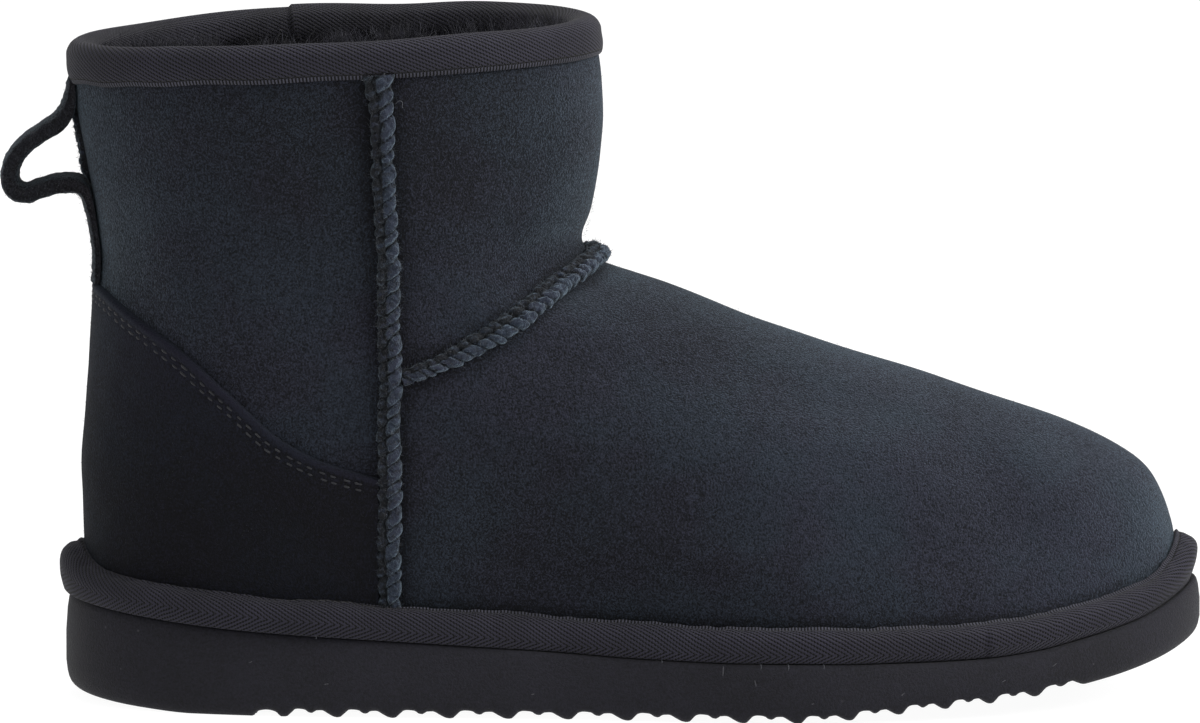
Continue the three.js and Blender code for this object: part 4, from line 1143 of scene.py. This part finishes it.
# Pull loop: share of its fall, share of LOOP_REACH, share of LOOP_THICKNESS
LOOP = (
    (-0.02, -0.01, 0.36),
    (0.11, 0.0, 0.78),
    (0.198, 0.13, 1),
    (0.248, 0.345, 1),
    (0.305, 0.592, 1),
    (0.372, 0.79, 1),
    (0.446, 0.905, 1),
    (0.513, 0.942, 1),
    (0.556, 0.875, 1),
    (0.566, 0.737, 1),
    (0.543, 0.542, 1),
    (0.521, 0.337, 1),
    (0.517, 0.13, 0.98),
    (0.533, 0.02, 0.92),
    (0.585, 0, 0.62),
    (0.7, 0, 0.48),
    (0.85, 0, 0.45),
    (0.96, 0, 0.42),
    (1.02, 0, 0.38),
)
BACK_SEAM_ROWS = (1, 12)  # the rows of LOOP that the back seam runs between
LOOP_TOP = float(skin(0.0, 1.0)[2]) - tape_depth(0) - GAP
LOOP_FALL = LOOP_TOP - COUNTER_HEIGHT - 2 * GAP


def back_level(z):
    z = np.asarray(z, float)
    return solve(lambda level: skin(0 * level, level)[..., 2] - z, 0, 1, z)


def loop_line(count):
    fall, out, thick = np.array(LOOP).T
    z = LOOP_TOP - fall * LOOP_FALL
    x = skin(0 * z, back_level(z))[:, 0] - 0.5 - thick * LOOP_THICKNESS / 2 - out * LOOP_REACH
    return smooth_line(np.column_stack([x, z, out, thick]), count)


def squared(wave, power):
    """A sine or cosine with its tops flattened, for the section of a strap."""
    return np.sign(wave) * np.abs(wave) ** power


def add_loop(finish):
    """A strap with rounded corners and grooved sides, its sewn parts bent round the heel."""
    along, around = LOOP_MESH
    x, z, out, thick = loop_line(along).T[..., None]
    tangent = unit(np.stack([np.gradient(x, axis=0), np.gradient(z, axis=0)], -1))
    turn = np.linspace(0, TURN, around + 1)[:-1]
    groove = 1 - 0.05 * np.exp(-((np.sin(turn) / 0.22) ** 2))
    y = squared(np.cos(turn), 0.42) * groove * LOOP_WIDTH / 2
    off = thick * LOOP_THICKNESS / 2 * squared(np.sin(turn), 0.42)
    wrap = (1 - np.clip(out / 0.25, 0, 1)) * y**2 / (0.6 * COLLAR_WIDTH)
    points = np.stack([x - tangent[..., 1] * off + wrap, y + 0 * off, z + tangent[..., 0] * off], -1)
    uneven = 0.16 * ripple(points, 12, 81) + 0.14 * ripple(points, 3.5, 82)
    uneven = uneven + 0.12 * ripple(points, 1.3, 83, 12)
    points = points + unit(points - np.stack([x, 0 * x, z], -1)) * uneven[..., None]
    strap = make_grid("pull_loop_suede", points, finish, caps=True)
    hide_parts("pull_loop")


def add_back_seam(finish):
    high, low = [LOOP_TOP - LOOP[row][0] * LOOP_FALL for row in BACK_SEAM_ROWS]
    height = np.linspace(high, low, BACK_SEAM_MESH[0])
    level = back_level(height)
    end = smooth(np.minimum(high - height, height - low), 0, 3)
    strip = seam_strip("back_seam_suede", 0 * level, level, finish, BACK_LUMP_PITCH, BACK_SEAM_SCALE,
                       BACK_SEAM_MESH[1], seed=91, width=mix(0.6, 1, end), rise=mix(0.4, 1, end))
    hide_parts("back_seam")


# Fleece
LINING_TOP = 0.2 * TAPE_DEPTH  # how far under the wall's top edge the lining ends


def insole_points(angle, level, share, inset):
    """Places on the insole's plain top, from its lateral edge to its medial edge."""
    lateral, medial = off_plan(angle, level, -inset), off_plan(-angle, level, -inset)
    points = mix(lateral, medial, share[..., None])
    points[..., 2] = sole_top(points[..., 0]) + GAP + INSOLE_THICKNESS
    return points


def add_lining(finish):
    angle = even_angles(LINING_MESH[0], 0.4)
    foot, top = level_over_sole(angle, 2.0), level_below_collar(angle, LINING_TOP)
    level = mix(foot, top, np.linspace(0, 1, LINING_MESH[1])[:, None])
    plain = skin(angle, level)
    puff = 0.7 * ripple(plain, 16, 101) + 0.5 * ripple(plain, 6, 102) + 0.3 * ripple(plain, 3, 103)
    normal = normal_at(angle, level)
    normal[..., 2] *= smooth(level, 0, 0.15) * (1 - smooth(level, 0.93, 1))
    points = plain - unit(normal) * (WALL + PILE + puff)[..., None]
    make_grid("fleece_lining", points, finish, flip=True)


def add_insole(finish):
    angle = even_angles(INSOLE_MESH[0], RAND_LEVEL)[: INSOLE_MESH[0] // 2 + 1]
    share = np.linspace(0, 1, INSOLE_MESH[1])[:, None]
    points = insole_points(angle, level_over_sole(angle, INSOLE_THICKNESS + GAP), share, WALL + 0.6)
    edge = smooth(np.minimum(share, 1 - share), 0, 0.12)
    puff = 0.5 * ripple(points, 14, 111) + 0.4 * ripple(points, 5, 112) + 0.25 * ripple(points, 2.6, 113)
    points[..., 2] += puff - 0.4 + 1.4 * (1 - edge)
    pad = make_grid("insole_fleece", points, finish, closed=False)
    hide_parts("insole")


def add_lining_hairs(finish):
    """Pile over the lining, thickest at the collar."""
    random = np.random.default_rng(121)
    count = LINING_HAIRS
    angle = random.uniform(0, TURN, count)
    share = random.beta(1.0, 1.6, count)
    level = mix(level_below_collar(angle, LINING_TOP), 0.12, share)
    inward = -normal_at(angle, level)
    roots = skin(angle, level) + inward * (WALL + PILE - ROOT_DEPTH)
    directions = inward * 0.8 + random.normal(size=(count, 3)) * 0.55 + [0, 0, 0.25]
    lengths = LINING_HAIR_LENGTH * random.uniform(0.35, 1.0, count) * mix(1.0, 0.75, share)
    hairs("fleece_pile", roots, directions, lengths, HAIR_WIDTH, finish, 122)


# Tufts that show over the near rim: length along the boot, spread, share of the tufts' hairs
TUFTS = (
    (22, 9, 0.26),
    (34, 5, 0.1),
    (52, 8, 0.05),
    (70, 7, 0.14),
    (86, 8, 0.3),
    (106, 10, 0.08),
    (122, 6, 0.07),
)


def add_rim_hairs(finish):
    """Wool that stands up inside the collar's edge, in tufts on the near side."""
    random = np.random.default_rng(131)
    count = RIM_HAIRS
    angle = random.uniform(0, TURN, count)
    chosen = random.uniform(0, 1, count) < 0.5
    centres, spreads, weights = np.array(TUFTS).T
    which = random.choice(len(TUFTS), count, p=weights / weights.sum())
    along = np.clip(random.normal(centres[which], spreads[which] * 0.5), 14, 132)
    angle = np.where(chosen, angle_at_length(along, np.ones(count)), angle)
    inset = random.uniform(0.35, 1.0, count) * WOOL_ROLL
    normal = plan_normal(angle, 1)
    roots = skin(angle, 1) + normal * (INSIDE - inset)[:, None]
    roots[:, 2] += random.uniform(-0.6, 2.2, count) + 0.9 * chosen
    directions = random.normal(size=(count, 3)) * 0.42 - normal * 0.15 + [0, 0, 0.9]
    lengths = random.uniform(0.25, 1.0, count) ** 1.3 * mix(RIM_HAIR_LENGTH, TUFT_LENGTH, chosen)
    hairs("rim_wool", roots, directions, lengths, RIM_HAIR_WIDTH, finish, 132, 0.15)


def add_insole_hairs(finish):
    random = np.random.default_rng(141)
    count = INSOLE_HAIRS
    angle = random.uniform(0, np.pi, count)
    share = random.uniform(0, 1, count)
    roots = insole_points(angle, RAND_LEVEL, share, WALL + 3) - [0, 0, ROOT_DEPTH]
    directions = random.normal(size=(count, 3)) * 0.6 + [0, 0, 0.8]
    lengths = random.uniform(0.4, 1, count) * INSOLE_HAIR_LENGTH
    hairs("insole_pile", roots, directions, lengths, HAIR_WIDTH, finish, 142)


# Small fibres and threads
def add_fuzz(finish):
    """Short fibres off the suede, seen along its edges."""
    random = np.random.default_rng(151)
    count = SUEDE_FIBRES
    angle = random.uniform(0, TURN, count)
    level = random.uniform(RAND_LEVEL, 0.95, count)
    normal = normal_at(angle, level)
    roots = skin(angle, level) - normal * 0.2
    x, z = roots[:, 0], roots[:, 2]
    covered = (x < COUNTER_FRONT) & (z < counter_edge(x))
    roots = roots + normal * np.where(covered, COUNTER_THICKNESS, 0)[:, None]
    directions = normal * 0.7 + random.normal(size=(count, 3)) * 0.5
    lengths = random.uniform(0.5, 1.3, count)
    hairs("suede_fuzz", roots, directions, lengths, SUEDE_FIBRE_WIDTH, finish, 152, FIBRE_CURL)


def add_seam_fuzz(finish):
    random = np.random.default_rng(171)
    count = SEAM_FIBRES
    pool = np.concatenate(FUZZ_ROOTS)
    roots = pool[random.integers(0, len(pool), count)]
    directions = random.normal(size=(count, 3)) + [0, 0, 0.2]
    lengths = random.uniform(0.5, 1.6, count)
    hairs("seam_fuzz", roots, directions, lengths, SEAM_FIBRE_WIDTH, finish, 172, FIBRE_CURL)


def add_loop_fuzz(finish):
    random = np.random.default_rng(161)
    count = LOOP_FIBRES
    x, z, _, thick = loop_line(400)[random.integers(4, 396, count)].T
    turn = random.uniform(0, TURN, count)
    y = squared(np.cos(turn), 0.5) * LOOP_WIDTH / 2
    away = random.normal(size=(count, 3)) * 0.6
    outward = unit(np.stack([np.sin(turn) * 0.2, np.cos(turn), 0 * turn], -1))
    directions = outward * 0.5 + away
    spread = unit(random.normal(size=(count, 3)) * [1, 0, 1]) * (thick * LOOP_THICKNESS * 0.42)[:, None]
    roots = np.stack([x, y, z], -1) + spread
    lengths = random.uniform(0.5, 1.5, count)
    hairs("loop_fuzz", roots, directions, lengths, LOOP_FIBRE_WIDTH, finish, 162, FIBRE_CURL)


# Thread end by the top of the side seam: length along, height, distance off the suede
THREAD_END = (
    (83.3, 153.2, 0.4),
    (83.9, 154, 0.9),
    (84.6, 154.1, 1.1),
    (85, 153.4, 0.8),
    (84.9, 152.7, 0.7),
    (85.2, 152.2, 0.4),
)
# Fibres under the rand: length along, own length
RAND_FIBRES = ((174, 1.5), (180.5, 1.7), (188.7, 1.2), (150, 0.8), (64, 0.9))


def add_loose_threads(finish):
    x, z, out = np.array(THREAD_END).T
    paths = [smooth_line(off_skin(*place_on_side(x, z), out), 24)]
    share = np.linspace(0, 1, 6)[:, None]
    for along, length in RAND_FIBRES:
        point = off_plan(angle_at_length(along, RAND_LEVEL), RAND_LEVEL, RAND_DEPTH + 0.7)
        point[2] = sole_top(point[0]) + 0.6
        paths.append(point + share * [0.2, -0.25, -length] + np.sin(share * 4) * [0.12, 0, 0])
    tubes("loose_threads", paths, THREAD_RADIUS, finish, sides=5)


# Stage, light and camera
CAMERA_AIM = (0.09375, 0, 0.083515)
CAMERA_DISTANCE = 3.6
CAMERA_ELEVATION = np.radians(7.4)
LENS = 432
SENSOR = 36
VIEW_DEPTH = 200
FLOOR_HALF = 60
LIGHT_AIM = (0.1, 0, 0.07)
# Lights: place, size and power
LIGHTS = {
    "key": ((2.0, -0.6, 1.35), 1.2, 55),
    "top": ((0.4, 0.1, 2.1), 1.8, 28),
    "fill": ((-1.6, -1.6, 1.0), 1.4, 5),
    "front": ((0.2, -2.6, 0.9), 1.6, 9),
}
SKY_STRENGTH = 0.48


def add_floor():
    """A white floor that glows, so that it shows almost no shadow."""
    mesh = bpy.data.meshes.new("floor")
    corners = [(x * FLOOR_HALF, y * FLOOR_HALF, 0) for x, y in ((-1, -1), (1, -1), (1, 1), (-1, 1))]
    mesh.from_pydata(corners, [], [(0, 1, 2, 3)])
    made = Shader("floor", Roughness=0.9, Specular_IOR_Level=0.1, Emission_Strength=0.95)
    made.surface.inputs["Base Color"].default_value = (0.12, 0.12, 0.12, 1)
    made.surface.inputs["Emission Color"].default_value = (1, 1, 1, 1)
    mesh.materials.append(made.material)
    floor = add_object("floor", mesh)


def add_lights():
    for name, (place, size, power) in LIGHTS.items():
        data = bpy.data.lights.new(name, "AREA")
        data.shape = "DISK"
        data.size = size
        data.energy = power
        light = add_object(name, data)
        way = np.subtract(LIGHT_AIM, place)
        light.location = place
        light.rotation_euler = (np.arctan2(np.hypot(way[0], way[1]), -way[2]), 0, np.arctan2(-way[0], way[1]))


def add_sky():
    world = bpy.data.worlds.new("world")
    world.use_nodes = True
    background = world.node_tree.nodes["Background"]
    background.inputs[0].default_value = (1, 1, 1, 1)
    background.inputs[1].default_value = SKY_STRENGTH
    bpy.context.scene.world = world


def set_view():
    bpy.context.scene.view_settings.view_transform = "Standard"


def add_camera():
    data = bpy.data.cameras.new("camera")
    data.lens = LENS
    data.sensor_width = SENSOR
    data.clip_end = VIEW_DEPTH
    camera = add_object("camera", data)
    away = np.array([0, -np.cos(CAMERA_ELEVATION), np.sin(CAMERA_ELEVATION)]) * CAMERA_DISTANCE
    camera.location = np.array(CAMERA_AIM) + away
    camera.rotation_euler = (np.pi / 2 - CAMERA_ELEVATION, 0, 0)
    bpy.context.scene.camera = camera


def main():
    main_suede = suede("suede", SUEDE_COLOUR, 0.18, tone=True)
    counter = suede("counter_suede", COUNTER_COLOUR, 0.03, tone=True)
    seam = suede("seam_suede", SEAM_COLOUR, 0.3, tone=True, gloss=0.26)
    loop = suede("loop_suede", LOOP_COLOUR, 0.12)
    foam = foam_material()
    stitch = thread_material("stitch", STITCH_COLOUR)
    thread = thread_material("thread", THREAD_COLOUR)
    seam_thread = thread_material("seam_thread", SEAM_THREAD_COLOUR)
    fibre = thread_material("fibre", FIBRE_COLOUR)
    scuff = thread_material("scuff", SCUFF_COLOUR)
    fleece = fleece_material("fleece", FLEECE_COLOUR)
    pile = fleece_material("pile", HAIR_COLOUR, hairy=True)
    rim = fleece_material("rim_pile", RIM_HAIR_COLOUR, hairy=True)
    add_upper(main_suede)
    add_rand(tape_material("rand_tape", RAND_FLIP))
    add_collar(tape_material("collar_tape", COLLAR_FLIP))
    add_outsole(foam)
    add_scuffs(scuff)
    add_counter(counter, stitch)
    add_side_seam("side_seam_lateral", False, seam)
    add_side_seam("side_seam_medial", True, seam)
    add_vamp_seam(seam)
    add_back_seam(seam)
    add_loop(loop)
    add_lining(fleece)
    add_insole(fleece)
    add_lining_hairs(pile)
    add_rim_hairs(rim)
    add_insole_hairs(pile)
    add_fuzz(thread)
    add_seam_fuzz(seam_thread)
    add_loop_fuzz(thread)
    add_loose_threads(fibre)
    add_floor()
    add_lights()
    add_sky()
    set_view()
    add_camera()


main()
